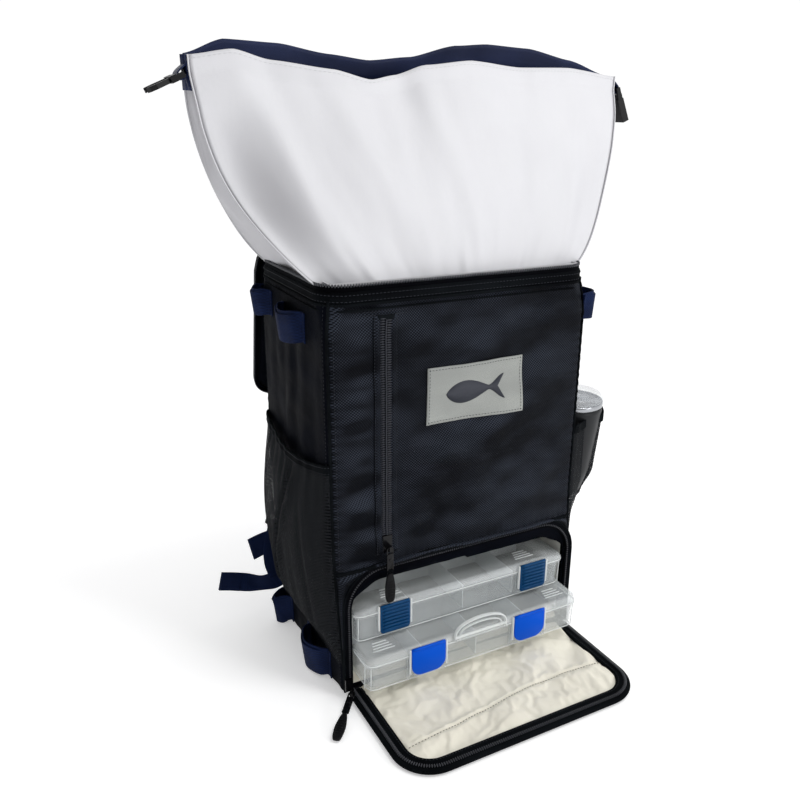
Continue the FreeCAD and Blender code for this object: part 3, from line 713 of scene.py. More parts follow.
def relief(face, s, z):
    """How far the cloth stands off its plan: a soft crown, folds, and puckers beside the seams."""
    half = SEAM_S[face]
    across = s / half
    edge = max(0.0, 1 - across ** 4)
    height = (z - SEAM) / (WALL_TOP - SEAM)
    crown = 2.2 * (1 - across * across) * math.sin(math.pi * min(1, max(0, z / WALL_TOP)))
    folds = 2.6 * soft(s / 62 + 3, z / 70, FACES.index(face)) + 1.3 * soft(s / 24, z / 26, 7)
    if face == "front" and z > SEAM:
        # ripples beside the zip, slanting folds to its right, and a belly low on the right
        strip = math.exp(-((s - ZIP_X + 30) / 17) ** 2)
        folds += strip * 7.5 * soft(s / 60 + 9, z / 17, 2.5)
        slant = (z - SEAM) * 0.85 - (s - 20) * 0.45
        folds += 4.6 * soft(slant / 42, (s + z) / 190, 5.5) * smoothstep((s + 85) / 50)
        crown += 1.6 * math.exp(-((height - 0.25) / 0.25) ** 2) * smoothstep((s - 60) / 90)
    if face == "left":
        folds += 2.2 * soft(s / 24, z / 120, 11)
    # puckers where the cloth is sewn, along its top and bottom and down its sides
    gap = min(abs(z - SEAM), abs(z - WALL_TOP)) if face == "front" else abs(z - WALL_TOP)
    pucker = 0.45 * math.sin(s / 1.35 + 2 * soft(s / 30, 1)) * math.exp(-gap / 6)
    side_gap = (1 - abs(across)) * half
    pucker += 0.4 * math.sin(z / 1.5 + 2 * soft(z / 30, 4)) * math.exp(-side_gap / 5)
    return crown * edge + folds * edge + pucker


def wall(face, s, z, out=0.0, crumpled=True):
    """A point on the bag's outside. s runs along a face from its middle, z is the height."""
    half, depth = FACE_HALF[face]
    corner = CORNER + CORNER_GROWTH * smoothstep((z - GROWTH_FOOT) / GROWTH_RISE)
    straight = half - corner
    s_here = abs(s) * (straight + corner * math.pi / 4) / SEAM_S[face]
    angle = min(math.pi / 2, max(0.0, s_here - straight) / corner)
    sign = 1 if s > 0 else -1
    a = sign * (min(s_here, straight) + corner * math.sin(angle))
    n = depth - corner + corner * math.cos(angle)
    stand = out + (relief(face, s, z) if crumpled else 0)
    if z < FOOT_RADIUS:
        stand -= FOOT_RADIUS - math.sqrt(max(0.0, FOOT_RADIUS ** 2 - (FOOT_RADIUS - z) ** 2))
    a += sign * math.sin(angle) * stand
    n += math.cos(angle) * stand
    x, y = {"front": (a, -n), "right": (n, a), "back": (-a, n), "left": (-n, -a)}[face]
    return np.array((x + lean(z), y, z))


def panel(face, low, high, columns, rows):
    """Cloth over one face of the bag."""
    half = SEAM_S[face]
    return surface(lambda u, v: wall(face, (2 * u - 1) * half, low + (high - low) * v), columns, rows)


def ring(z):
    """The bag's outline at a height, from the back-left corner round the front to the back again."""
    line = []
    for face in ("left", "front", "right", "back"):
        half = SEAM_S[face]
        count = int(2 * half / 4.0)
        line += [wall(face, -half + 2 * half * k / count, z, crumpled=False) for k in range(count)]
    return line


def outward(line):
    """Level outward directions round a closed line."""
    line = np.array(line)
    run = np.roll(line, -1, 0) - np.roll(line, 1, 0)
    across = np.cross(run, (0, 0, 1))
    return across / np.linalg.norm(across, axis=1)[:, None]


def bag_panels():
    """Front above the seam, both sides, back and base."""
    piece("front_cloth", panel("front", SEAM, WALL_TOP + 1, 150, 140), "pack", "nylon",
          ["front_panel", "foam_panels", "pocket_pouch"], thick=CLOTH)
    for face, hides in (("left", ["side_panels"]), ("right", [])):
        piece(face + "_cloth", panel(face, 1.0, WALL_TOP + 1, 90, 200), "pack", "side_cloth", hides,
              thick=CLOTH)
    piece("back_cloth", panel("back", 1.0, WALL_TOP + 1, 110, 120), "pack", "side_cloth",
          ["back_panel"], thick=CLOTH)
    top = cad("base_panel")[1].z
    base = plate(rounded(HALF_W - 4, HALF_D - 4, 10), 0.0, top, 1.0, lambda a, b, c: (a + LEAN, b, c))
    piece("base_cloth", base, "pack", "nylon_flat", ["base_panel", "base_board"])


def corner_piping():
    """Piping down the four corners, with a stitched line each side of it."""
    tubes, rows = [], []
    low = 6.0
    ways = (("front", (-1, 0, 0)), ("right", (0, -1, 0)), ("back", (1, 0, 0)), ("left", (0, 1, 0)))
    for face, across in ways:
        half = SEAM_S[face]
        line = [wall(face, half, low + (WALL_TOP - low) * k / 90, 0.6) for k in range(91)]
        tubes.append(sweep(frames_along(line, (1, 0, 0)), circle(PIPING_R, PIPING_SIDES)))
        for offset in (5.5, 2 * half - 5.5):
            line = [wall(face, half - offset, 12 + (WALL_TOP - 18) * k / 200, 0.1) for k in range(201)]
            rows.append(stitches(line, across, *CORNER_STITCH))
    piece("corner_piping", join(*tubes), "pack", "binding")
    piece("corner_stitches", join(*rows), "pack", "thread")


def rim():
    """Binding band round the mouth, the piping under it, and the standing zip tape with its teeth."""
    line = [np.array((p[0], p[1], 0)) for p in ring(RIM)]
    normals = outward(line)
    up = np.array((0.0, 0.0, 1.0))

    def frames(z, out=0.0, wave=0.0):
        return [(p + n * out + up * (z + wave * soft(i / 9, z)), n, up)
                for i, (p, n) in enumerate(zip(line, normals))]

    low, high = WALL_TOP - 3.5, RIM - 6.5
    profile = [(0.2, low), (1.6, low + 1.5), (1.8, low + 4), (1.1, low + 5.6), (1.8, low + 7.4),
               (1.7, high - 1.5), (0.6, high), (-1.4, high), (-2.2, high - 2), (-2.2, low + 2)]
    piece("rim_binding", sweep(frames(0), profile, closed=True), "pack", "binding",
          ["rim_band"], rounds=1)
    tube = sweep(frames(low - 0.6, 1.1, 0.3), circle(PIPING_R, PIPING_SIDES), closed=True)
    second = sweep(frames(low - 6.5, 0.9, 0.3), circle(1.0, 8), closed=True)
    piece("rim_piping", join(tube, second), "pack", "binding")

    first = next(i for i, p in enumerate(line) if p[1] < HALF_D - 14 and p[0] < 0)
    last = max(i for i, p in enumerate(line) if p[0] > HALF_W - 1 and p[1] < HALF_D - 16)
    route = [line[i] - normals[i] * 0.9 + up * (RIM - 7.0 + 0.5 * soft(i / 7, 3)) for i in range(first, last)]
    end = route[-1]
    curl = [end + (2, 8, 1), end + (9, 14, 3), end + (17, 14, 4), end + (20, 8, 3)]
    route = even(route + spline(curl, 5), 3.0)
    tape = [(-0.8, -5), (0.8, -5), (0.9, 3.0), (0.5, 5.6), (-0.5, 5.6), (-0.9, 3.0)]
    across = outward_open(route)
    piece("rim_zip", sweep([(p, a, up) for p, a in zip(route, across)], tape), "pack", "zip_tape",
          ["rim_zip_tape"])
    teeth = even(route, 2.9)
    spots = [(p + up * 5.9 + a * 0.4, up, a) for p, a in zip(teeth, outward_open(teeth))]
    piece("rim_zip_coil", beads(spots, 1.7, 1.0, 1.5), "pack", "teeth")
    rows = []
    for z in (low + 2.6, low + 8.6):
        row = [o for o, _, _ in frames(z, 1.9)]
        frame_list = frames_along(even(row + row[:1], 4.0), (0, 0, 1))
        rows.append(beads([(o, np.cross(a, b), b) for o, a, b in frame_list], 1.3, 0.28))
    piece("rim_stitches", join(*rows), "pack", "thread")


def outward_open(line):
    """Level directions to the right of an open line's run."""
    run = np.gradient(np.array(line), axis=0)
    across = np.cross(run, (0, 0, 1))
    return across / np.linalg.norm(across, axis=1)[:, None]


# ---------------------------------------------------------------- the roll-top liner

COLLAR_FOOT = LINER_HIGH.z - 15
BAND_WIDTH = 25.0
FRONT_WAVE = ((-1.0, 656), (-0.84, 662), (-0.70, 654), (-0.46, 648), (-0.30, 640), (-0.19, 645), (-0.06, 655),
              (0.16, 661), (0.42, 657), (0.70, 659), (1.0, 653))
REAR_WAVE = ((-1.0, 657), (-0.84, 671), (-0.62, 670), (-0.40, 663), (-0.22, 659), (-0.02, 664), (0.20, 677),
             (0.36, 680), (0.58, 678), (0.80, 668), (1.0, 654))


def wave(points, t):
    """A smooth line through pairs, at t."""
    for (t0, z0), (t1, z1) in zip(points, points[1:]):
        if t <= t1:
            part, rise = (t - t0) / (t1 - t0), z1 - z0
            return z0 + rise * smoothstep(part) * 0.5 + rise * part * 0.5
    return points[-1][1]


def collar_point(t, v, side, out=0.0):
    """A point of the collar: t from -1 to 1 along x, v from the rim to the edge, side -1 at the front."""
    z = COLLAR_FOOT + (wave(FRONT_WAVE if side < 0 else REAR_WAVE, t) - COLLAR_FOOT) * v
    grow = 1 - (1 - v) ** 2.1
    tucked = math.exp(-v * 14)
    half_w = LINER_HIGH.x + (MOUTH_HALF - LINER_HIGH.x) * grow - 9.0 * tucked
    half_d = LINER_HIGH.y + (10.0 - LINER_HIGH.y) * min(1.0, v * 1.08) - 9.0 * tucked * abs(t) ** 5
    belly = (16 * v + 10 * math.sin(math.pi * v)) * (1 - t * t)
    # the ends of the collar fall inward half way up, most at the front's left
    set_back = smoothstep((abs(t) - 0.70) / 0.26) * smoothstep((0.9 - v) / 0.2)
    set_back *= math.exp(-((v - 0.42) / 0.30) ** 2)
    belly -= (32.0 if t < 0 and side < 0 else 9.0) * set_back
    creases = 3.4 * soft(t * 4.2, v * 1.6, side * 3) + 1.5 * soft(t * 9 + v * 2, v * 2.2, side * 5)
    gather = 1.8 * soft(t * 17, v * 1.5, side * 9) * math.exp(-v * 5)
    n = half_d + belly + (creases + gather) * (1 - t ** 6) + out
    return np.array((t * half_w, side * n, z))


def gusset_point(t, v, hand, out=0.0):
    """A point of the collar's folded side: t from -1 at the front seam to 1 at the rear one."""
    front = collar_point(hand, v, -1)
    rear = collar_point(hand, v, 1)
    point = front + (rear - front) * (t + 1) / 2
    depth = abs(rear[1] - front[1])
    tuck = -0.17 * depth * (1 - t * t) * math.sin(math.pi * min(1.0, v * 1.1))
    tuck -= 5.0 * math.exp(-((t + 0.62) / 0.22) ** 2) * math.sin(math.pi * min(1.0, v * 1.05))
    bulge = 9.0 * math.exp(-((v - 0.42) / 0.2) ** 2) * math.exp(-((t - 0.55) / 0.35) ** 2)
    fold = 4.2 * soft(t * 2.6 + v * 3, v * 5, hand * 4) * (1 - t * t)
    point[0] += hand * (tuck + bulge + fold + out)
    return point


def collar():
    """The white liner collar: front, rear and two gussets as one cloth."""
    columns, rows, side_columns = 110, 64, 30

    def around(u, v):
        turn = u * (2 * columns + 2 * side_columns)
        if turn < columns:
            return collar_point(2 * turn / columns - 1, v, -1)
        turn -= columns
        if turn < side_columns:
            return gusset_point(2 * turn / side_columns - 1, v, 1)
        turn -= side_columns
        if turn < columns:
            return collar_point(1 - 2 * turn / columns, v, 1)
        return gusset_point(1 - 2 * (turn - columns) / side_columns, v, -1)

    cloth = surface(around, 2 * columns + 2 * side_columns, rows, wrap=True)
    obj = piece("collar_cloth", cloth, None, "liner", thick=0.9)
    apply_modifiers(obj)
    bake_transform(obj)
    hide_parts("liner_collar")

    seams = []
    for hand in (-1, 1):
        for side in (-1, 1):
            line = [collar_point(hand, k / 60, side, 0.4) + (hand * 0.5, 0, 0) for k in range(61)]
            seams.append(sweep(frames_along(line, (0, 1, 0)), circle(0.9, 6)))
    seam = piece("collar_seams", join(*seams), None, "liner")
    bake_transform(seam)


def mouth_bands():
    """Stiff navy bands sewn inside both edges of the mouth, following their waves."""
    for side, node in ((-1, "mouth_band_front"), (1, "mouth_band_rear")):
        def band(u, v, side=side):
            t = (2 * u - 1) * side
            top = wave(FRONT_WAVE if side < 0 else REAR_WAVE, t)
            down = 1 - BAND_WIDTH * (1 - v) / (top - COLLAR_FOOT)
            point = collar_point(t, down, side, -2.6)
            if v == 1:
                point[2] += 0.8 if side > 0 else -1.5
            return point
        geometry = surface(band, 140, 8)
        piece(node + "_cloth", geometry, "roll_top", "band", [node], thick=1.4)
        row = [collar_point((k / 120) * 2 - 1, 0.985, side, 0.35) for k in range(121)]
        thread = stitches(row, (0, 0, side), *MOUTH_STITCH)
        piece(node + "_stitches", thread, "roll_top", "white_thread")
    ends = []
    for hand in (-1, 1):
        def end(u, v, hand=hand):
            return gusset_point(2 * u - 1, 1 - 0.14 * (1 - v), hand, 1.5)
        ends.append(surface(end, 20, 8))
    piece("mouth_band_ends", join(*ends), "roll_top", "band", thick=1.2)


# ---------------------------------------------------------------- front details

def on_front(x, z, out=0.0):
    """A point on the crumpled front cloth at an x and z."""
    return wall("front", x, z, out)


def pocket_zip():
    """Upright pocket zip: two folded lips, the tape, the closed coil and the stitched top."""
    low, high = (corner.z for corner in cad("pocket_zip_tape"))

    def strip(x0, x1, out):
        return surface(lambda u, v: on_front(x0 + (x1 - x0) * u, low + (high - low) * v,
                                             out * math.sin(math.pi * (0.15 + 0.7 * u)) + 0.3), 6, 110)

    lips = join(strip(ZIP_X - 12.5, ZIP_X - 4.6, 2.0), strip(ZIP_X + 4.6, ZIP_X + 12.5, 2.0))
    piece("pocket_zip_lips", lips, "pack", "nylon", thick=0.9)
    piece("pocket_zip_cloth", strip(ZIP_X - 6, ZIP_X + 6, 0.6), "pack", "zip_tape",
          ["pocket_zip_tape"], thick=0.6)
    line = [on_front(ZIP_X, low + 4 + (high - low - 8) * k / 120, 0.9) for k in range(121)]
    ridge = sweep(frames_along(line, (-1, 0, 0)), [(0.7, 1.0), (0.5, 2.1), (-0.5, 2.1), (-0.7, 1.0)])
    piece("pocket_zip_coil", join(coil(line, (-1, 0, 0), 12.0, 2.5, 0.7, 1.0), ridge), "pack", "coil")
    edges = []
    for offset in (-12.0, -6.4, 6.4, 12.0):
        row = [on_front(ZIP_X + offset, low + (high - low) * k / 160, 1.5) for k in range(161)]
        edges.append(stitches(row, (-1, 0, 0), *SEAM_STITCH))
    for z in (high + 0.5, high + 4.0):
        row = [on_front(ZIP_X - 22 + 44 * k / 20, z, 0.7) for k in range(21)]
        edges.append(stitches(row, (0, 0, 1), *SEAM_STITCH))
    piece("pocket_zip_stitches", join(*edges), "pack", "thread")
    bar = [on_front(ZIP_X - 9 + 18 * k / 6, high - 2, 1.6) for k in range(7)]
    bar = sweep(frames_along(bar, (0, 0, 1)), rounded(2.6, 0.7, 0.6, 2))
    piece("pocket_zip_stop", bar, "pack", "binding")


def label():
    """Sewn grey patch with a plain fish outline on it."""
    low, high = cad("label_patch")
    mid_x, mid_z = (low.x + high.x) / 2, (low.z + high.z) / 2
    half_a, half_b = (high.x - low.x) / 2, (high.z - low.z) / 2

    def hold(a, b, c):
        return on_front(mid_x + a, mid_z + b, 0.3 + c)

    def sheet(u, v):
        return hold((2 * u - 1) * half_a, (2 * v - 1) * half_b, 1.3)
    piece("label_cloth", surface(sheet, 40, 24), "pack", "patch", ["label_patch"], thick=1.3)
    inset = 2.6
    corners = [(-1, -1), (1, -1), (1, 1), (-1, 1), (-1, -1)]
    rows = []
    for (a0, b0), (a1, b1) in zip(corners, corners[1:]):
        start = np.array((a0 * (half_a - inset), b0 * (half_b - inset)))
        end = np.array((a1 * (half_a - inset), b1 * (half_b - inset)))
        line = [hold(*(start + (end - start) * k / 40), 1.4) for k in range(41)]
        along = line[-1] - line[0]
        rows.append(stitches(line, np.cross((0, -1, 0), along), *PATCH_STITCH))
    piece("label_stitches", join(*rows), "pack", "thread")

    def fish_half(s):
        """Half height of the fish at s from its nose (0) to its tail (1)."""
        if s < 0.74:
            return 12.5 * math.sin(math.pi * (s / 0.80) ** 0.72) + 0.2
        return 2.4 + 11 * smoothstep((s - 0.74) / 0.26)
    steps, length = 40, 72.0
    points = []
    for k in range(steps + 1):
        s = k / steps
        notch = 7 * smoothstep((s - 0.8) / 0.2)
        for side, back in ((-1, 0), (0, notch), (1, 0)):
            points.append(hold(-length / 2 + length * s - back, side * fish_half(s), 1.55))
    faces = [(a, a + 3, a + 4, a + 1) for k in range(steps) for a in (3 * k, 3 * k + 1)]
    piece("label_fish", (points, faces), "pack", "ink", thick=0.25)


def seam_above_door():
    """Raised seam between the front and the door frame, with two stitched lines."""
    half = SEAM_S_FRONT
    line = [wall("front", (2 * k / 130 - 1) * half, SEAM, 0.5) for k in range(131)]
    cord = sweep(frames_along(line, (0, 0, 1)), rounded(2.2, 0.8, 0.7, 2))
    piece("front_seam", cord, "pack", "binding")
    rows = []
    for z in (SEAM + 4.5, SEAM - 4.0):
        row = [wall("front", (2 * k / 130 - 1) * (half - 4), z, 0.2) for k in range(131)]
        rows.append(stitches(row, (0, 0, 1), *FRONT_STITCH))
    piece("front_seam_stitches", join(*rows), "pack", "thread")


# ---------------------------------------------------------------- the tackle bay's opening

ARCH_TOP = cad("door_frame_tape")[1].z - 3
ARCH_HALF = DOOR_HALF_W + 4.0


def arch(offset):
    """The opening's outline as (x, z) pairs, left foot to right foot, set outward by an offset."""
    low = 6.0
    half, top, radius = ARCH_HALF + offset, ARCH_TOP + offset, DOOR_CORNER + offset
    left, right = DOOR_X - half, DOOR_X + half
    line = [(left, low + (top - radius - low) * k / 26) for k in range(26)]
    line += arc((left + radius, top - radius), radius, 2, -1, 10)
    line += [(left + radius + (right - left - 2 * radius) * k / 60, top) for k in range(1, 60)]
    line += arc((right - radius, top - radius), radius, 1, -1, 10)
    line += [(right, top - radius - (top - radius - low) * k / 26) for k in range(1, 27)]
    return line


def door_frame():
    """Cloth round the arch, its turned-in edge, and the bag's half of the door's zip."""
    inner = arch(6.5)
    half, top = SEAM_S_FRONT, SEAM
    outer = []
    for x, z in inner:
        if z < ARCH_TOP - DOOR_CORNER:
            outer.append((-half if x < DOOR_X else half, z))
        elif abs(x - DOOR_X) < ARCH_HALF - DOOR_CORNER:
            outer.append((x, top))
        else:
            hand = -1 if x < DOOR_X else 1
            centre = (DOOR_X + hand * (ARCH_HALF - DOOR_CORNER), ARCH_TOP - DOOR_CORNER)
            way = (x - centre[0], z - centre[1])
            reach = min((hand * half - centre[0]) / way[0] if abs(way[0]) > 1e-6 else 1e9,
                        (top - centre[1]) / way[1] if way[1] > 1e-6 else 1e9)
            outer.append((centre[0] + way[0] * reach, centre[1] + way[1] * reach))

    def cloth(u, v):
        i = int(round(u * (len(inner) - 1)))
        (x0, z0), (x1, z1) = inner[i], outer[i]
        x, z = x0 + (x1 - x0) * v, z0 + (z1 - z0) * v
        swell = 2.6 * math.sin(math.pi * min(1, v * 1.1)) + 1.2 * soft(x / 18, z / 18, 3) * v
        return wall("front", x, max(z, 2.5), swell * 0.8) + (lean(z) * (v - 1), 0, 0)
    piece("door_frame_cloth", surface(cloth, len(inner) - 1, 9), "pack", "nylon", ["door_frame"],
          thick=CLOTH)

    def along_arch(offset, y):
        return [np.array((x, y, z)) for x, z in arch(offset)]
    y = -HALF_D
    frames = frames_along(along_arch(3.2, y - 0.6), (0, -1, 0))
    tape = [(-0.8, -4.4), (0.8, -4.4), (1.1, -3.0), (0.9, 3.4), (2.2, 4.2), (2.0, 5.6), (-0.8, 5.8)]
    piece("arch_zip_tape", sweep(frames, tape), "pack", "zip_tape", ["door_frame_tape"])
    edge = frames_along(along_arch(6.6, y - 0.4), (0, -1, 0))
    piece("arch_piping", sweep(edge, circle(PIPING_R, PIPING_SIDES)), "pack", "binding")
    teeth = crossbars(along_arch(0.4, y - 1.4), 2.7, (0, -1, 0), 1.5, 0.8, 1.1)
    piece("arch_zip_coil", teeth, "pack", "teeth")
    row = [spot for spot in frames_along(even(along_arch(-1.6, y - 1.0), 2.8), (0, -1, 0))
           if spot[0][2] > ARCH_TOP - 4]
    piece("arch_stitches", beads(row, 0.9, 0.7), "pack", "pale_thread")
    start, inner_line = arch(2.4), arch(1.4)

    def flap(u, v):
        i = int(round(u * (len(start) - 1)))
        (x, z), (nx, nz) = start[i], inner_line[i]
        hang = 3.0 + 13.5 * smoothstep((z - ARCH_TOP + 44) / 40) + (3.0 if x > DOOR_X else 0.0)
        ripple = 0.8 * soft(u * 30, v * 2) * v
        return (x + (nx - x) * hang * v, y + 1.0 + 2.2 * v + ripple, z + (nz - z) * hang * v)
    piece("arch_inner_flap", surface(flap, len(start) - 1, 4), "pack", "side_cloth", thick=1.2)


def bay_inside():
    """Cream lining of the tackle bay: floor, walls and roof, a little crumpled."""
    pad_low, pad_high = cad("bay_floor_pad")
    left, right = pad_low.x + 0.5, pad_high.x - 0.5
    back, front = pad_high.y - 0.5, -HALF_D + 5
    top = cad("bay_walls")[1].z - 1

    def lining(u, v):
        z = pad_high.z + (top - pad_high.z) * v
        span = (back - front) * 2 + (right - left)
        run = u * span
        if run < back - front:
            x, y, nx, ny = left, front + run, 1, 0
        elif run < back - front + right - left:
            x, y, nx, ny = left + run - (back - front), back, 0, -1
        else:
            x, y, nx, ny = right, back - (run - (back - front) - (right - left)), -1, 0
        puffed = 0.5 * soft(run / 30, z / 30, 2)
        return (x - nx * abs(puffed) * 0.4, y - ny * abs(puffed) * 0.4, z)
    piece("bay_wall_lining", surface(lining, 120, 12), "pack", "shaded_cream", ["bay_walls"])

    roof = plate(rounded((right - left) / 2, (back - front) / 2, 6), top - 0.5, top, 0.2,
                 lambda a, b, c: (a + (left + right) / 2, b + (front + back) / 2, c))
    piece("bay_roof_lining", roof, "pack", "shaded_cream", ["bay_shelf"])

    def floor(u, v):
        y = front - 2 + (back - front) * v
        drop = 12 * (1 - smoothstep(v * 16))
        return (left + (right - left) * u, y, pad_high.z - 0.4 - drop - 0.3 * abs(soft(u * 9, v * 6)))
    piece("bay_floor_lining", surface(floor, 60, 60), "pack", "cream", ["bay_floor_pad"])


# ---------------------------------------------------------------- the tackle bay's door

def door_outline(inset):
    """The door's plan as (x, y) pairs, from the left hinge end round the far edge to the right one."""
    near, far = DOOR_NEAR, DOOR_FAR + inset
    half, radius = DOOR_HALF - inset, DOOR_CORNER - inset
    line = [(DOOR_X - half, near + (far + radius - near) * k / 24) for k in range(24)]
    line += arc((DOOR_X - half + radius, far + radius), radius, 2, 1, 12)
    line += [(DOOR_X - half + radius + (2 * half - 2 * radius) * k / 50, far) for k in range(1, 50)]
    line += arc((DOOR_X + half - radius, far + radius), radius, 3, 1, 12)
    line += [(DOOR_X + half, far + radius + (near - far - radius) * k / 24) for k in range(1, 25)]
    return line


def door_seam(x):
    """Where the curved seam crosses the lining, as y at an x."""
    t = (x - DOOR_X) / DOOR_HALF
    return -197 + 11 * math.sin(2 * t + 0.6)


def lining_height(x, y):
    """Height of the padded lining over the door's shell."""
    t = (x - DOOR_X) / (DOOR_HALF - DOOR_RIM)
    near, far = DOOR_NEAR, DOOR_FAR + DOOR_RIM
    v = (y - far) / (near - far)
    edge = min(1.0, (1 - abs(t)) * 9) * min(1.0, v * 8 + 0.05)
    swell = 5.5 * math.sqrt(max(0, edge)) * (0.55 + 0.45 * math.sin(math.pi * min(1, v)))
    # the lining is drawn down along its seam and rises behind it and towards the hinge
    near_lift = 6.0 * smoothstep((v - 0.62) / 0.38) * (0.75 + 0.25 * math.cos(t * 3))
    seam = abs(y - door_seam(x))
    groove = -2.4 * math.exp(-(seam / 2.2) ** 2) * min(1, edge + 0.2)
    ridge = 1.6 * math.exp(-((y - door_seam(x) + 9) / 7) ** 2)
    slant = (x * 0.55 - y) / 34
    folds = (1.9 * soft(slant, (x + y * 0.5) / 120, 1) + 1.1 * soft(x / 26, y / 18, 4)
             + 0.5 * soft(x / 9, y / 8, 8))
    crease = -2.2 * math.exp(-(((y + 232) - (x + 62) * 0.3) / 3.2) ** 2) * smoothstep((-x + 20) / 70)
    return DOOR_TOP - 2.5 + swell + near_lift + (groove + ridge + folds + crease) * edge


def door():
    """The fold-down door: shell, black bound edge with its zip half, and the padded cream lining."""
    low = DOOR_LOW.z

    def along_edge(inset, z):
        return [np.array((x, y, low + z)) for x, y in door_outline(inset)]
    shell = plate(door_outline(1.0), low, low + 2.4, 0.8, as_is)
    piece("door_shell_cloth", shell, "door", "nylon_flat", ["door_shell", "door_pad"])

    band = [(-2.6, 0.6), (-1.4, -0.6), (0.8, -1.2), (2.4, -0.4), (3.6, 2.0), (4.3, 6.5), (4.5, 11.0),
            (5.0, 14.5), (3.6, 16.5), (-1.0, 15.0), (-2.6, 6.0)]
    bound = [(o, a, -b) for o, a, b in frames_along(along_edge(0, 3.0), (0, 0, 1))]
    piece("door_binding", sweep(bound, band), "door", "binding", ["door_zip_tape"], rounds=1)
    teeth = crossbars(along_edge(5.2, 7.6), 2.6, (0, 0, 1), 2.0, 0.85, 1.2)
    piece("door_zip_coil", teeth, "door", "teeth")
    thread = frames_along(even(along_edge(12.6, 8.0), 3.6), (0, 0, 1))
    piece("door_binding_stitches", beads([(o, np.cross(a, b), a) for o, a, b in thread], 1.2, 0.28), "door",
          "thread")

    near, far = DOOR_NEAR, DOOR_FAR
    inset = DOOR_RIM - 2.5
    columns, rows = 130, 64

    def cloth(u, v):
        y = far + inset + (near - far - inset) * v
        half = DOOR_HALF - inset
        radius = DOOR_CORNER - inset
        over = max(0.0, (far + inset + radius) - y)
        if over > 0:
            half -= radius - math.sqrt(max(0.0, radius * radius - over * over))
        x = DOOR_X + half * (2 * u - 1)
        return np.array((x, y, lining_height(x, y)))
    obj = piece("door_lining_cloth", surface(cloth, columns, rows), "door", "cream",
                ["door_lining"])
    crumple(obj, columns, rows)
    row = []
    for k in range(121):
        x = DOOR_X + (2 * k / 120 - 1) * (DOOR_HALF - DOOR_RIM - 1)
        y = door_seam(x)
        row.append(np.array((x, y, lining_height(x, y) + 0.5)))
    seam = stitches(row, (0, 1, 0), *LINING_STITCH)
    piece("door_lining_stitches", seam, "door", "seam_thread")


def crumple(obj, columns, rows):
    """Lets the lining swell and crumple as cloth a little wider than its frame, held along edge and seam."""
    across = columns + 1
    pins = [j * across + i for j in range(rows + 1) for i in range(across)
            if i in (0, columns) or j in (0, rows)]
    pins += [v.index for v in obj.data.vertices if abs(v.co.y / MM - door_seam(v.co.x / MM)) < 1.7]
    simulate(obj, pressure=0.6, cap=3.5, shrink=-0.022, steps=18, pins=pins)


# ---------------------------------------------------------------- utility trays

def upright(y):
    """Places (x, z, out) on a plane facing the front at a y."""
    return lambda a, b, c: (a, y - c, b)


TRAY_STEPS = 6
TRAY_COUNT = 4 * (TRAY_STEPS + 1)


def tray_shell(name):
    """A tray's clear base: tapered wall with rounded corners, floor and outward lip."""
    low, high = cad(name + "_base")
    mid = ((low.x + high.x) / 2, (low.y + high.y) / 2)
    half = ((high.x - low.x) / 2, (high.y - low.y) / 2)
    thick = 1.5
    levels = [(3.0, low.z), (2.4, low.z + 0.9), (0.3, high.z - 2.6), (-1.7, high.z - 2.4), (-1.7, high.z - 0.2),
              (thick - 0.1, high.z), (thick + 2.0, low.z + thick + 1.2), (thick + 3.4, low.z + thick)]
    points = [(mid[0] + a, mid[1] + b, z) for inset, z in levels
              for a, b in rounded(half[0] - inset, half[1] - inset, 9 - inset * 0.5, TRAY_STEPS)]
    return (points, stacked_faces(TRAY_COUNT, len(levels))), low, high


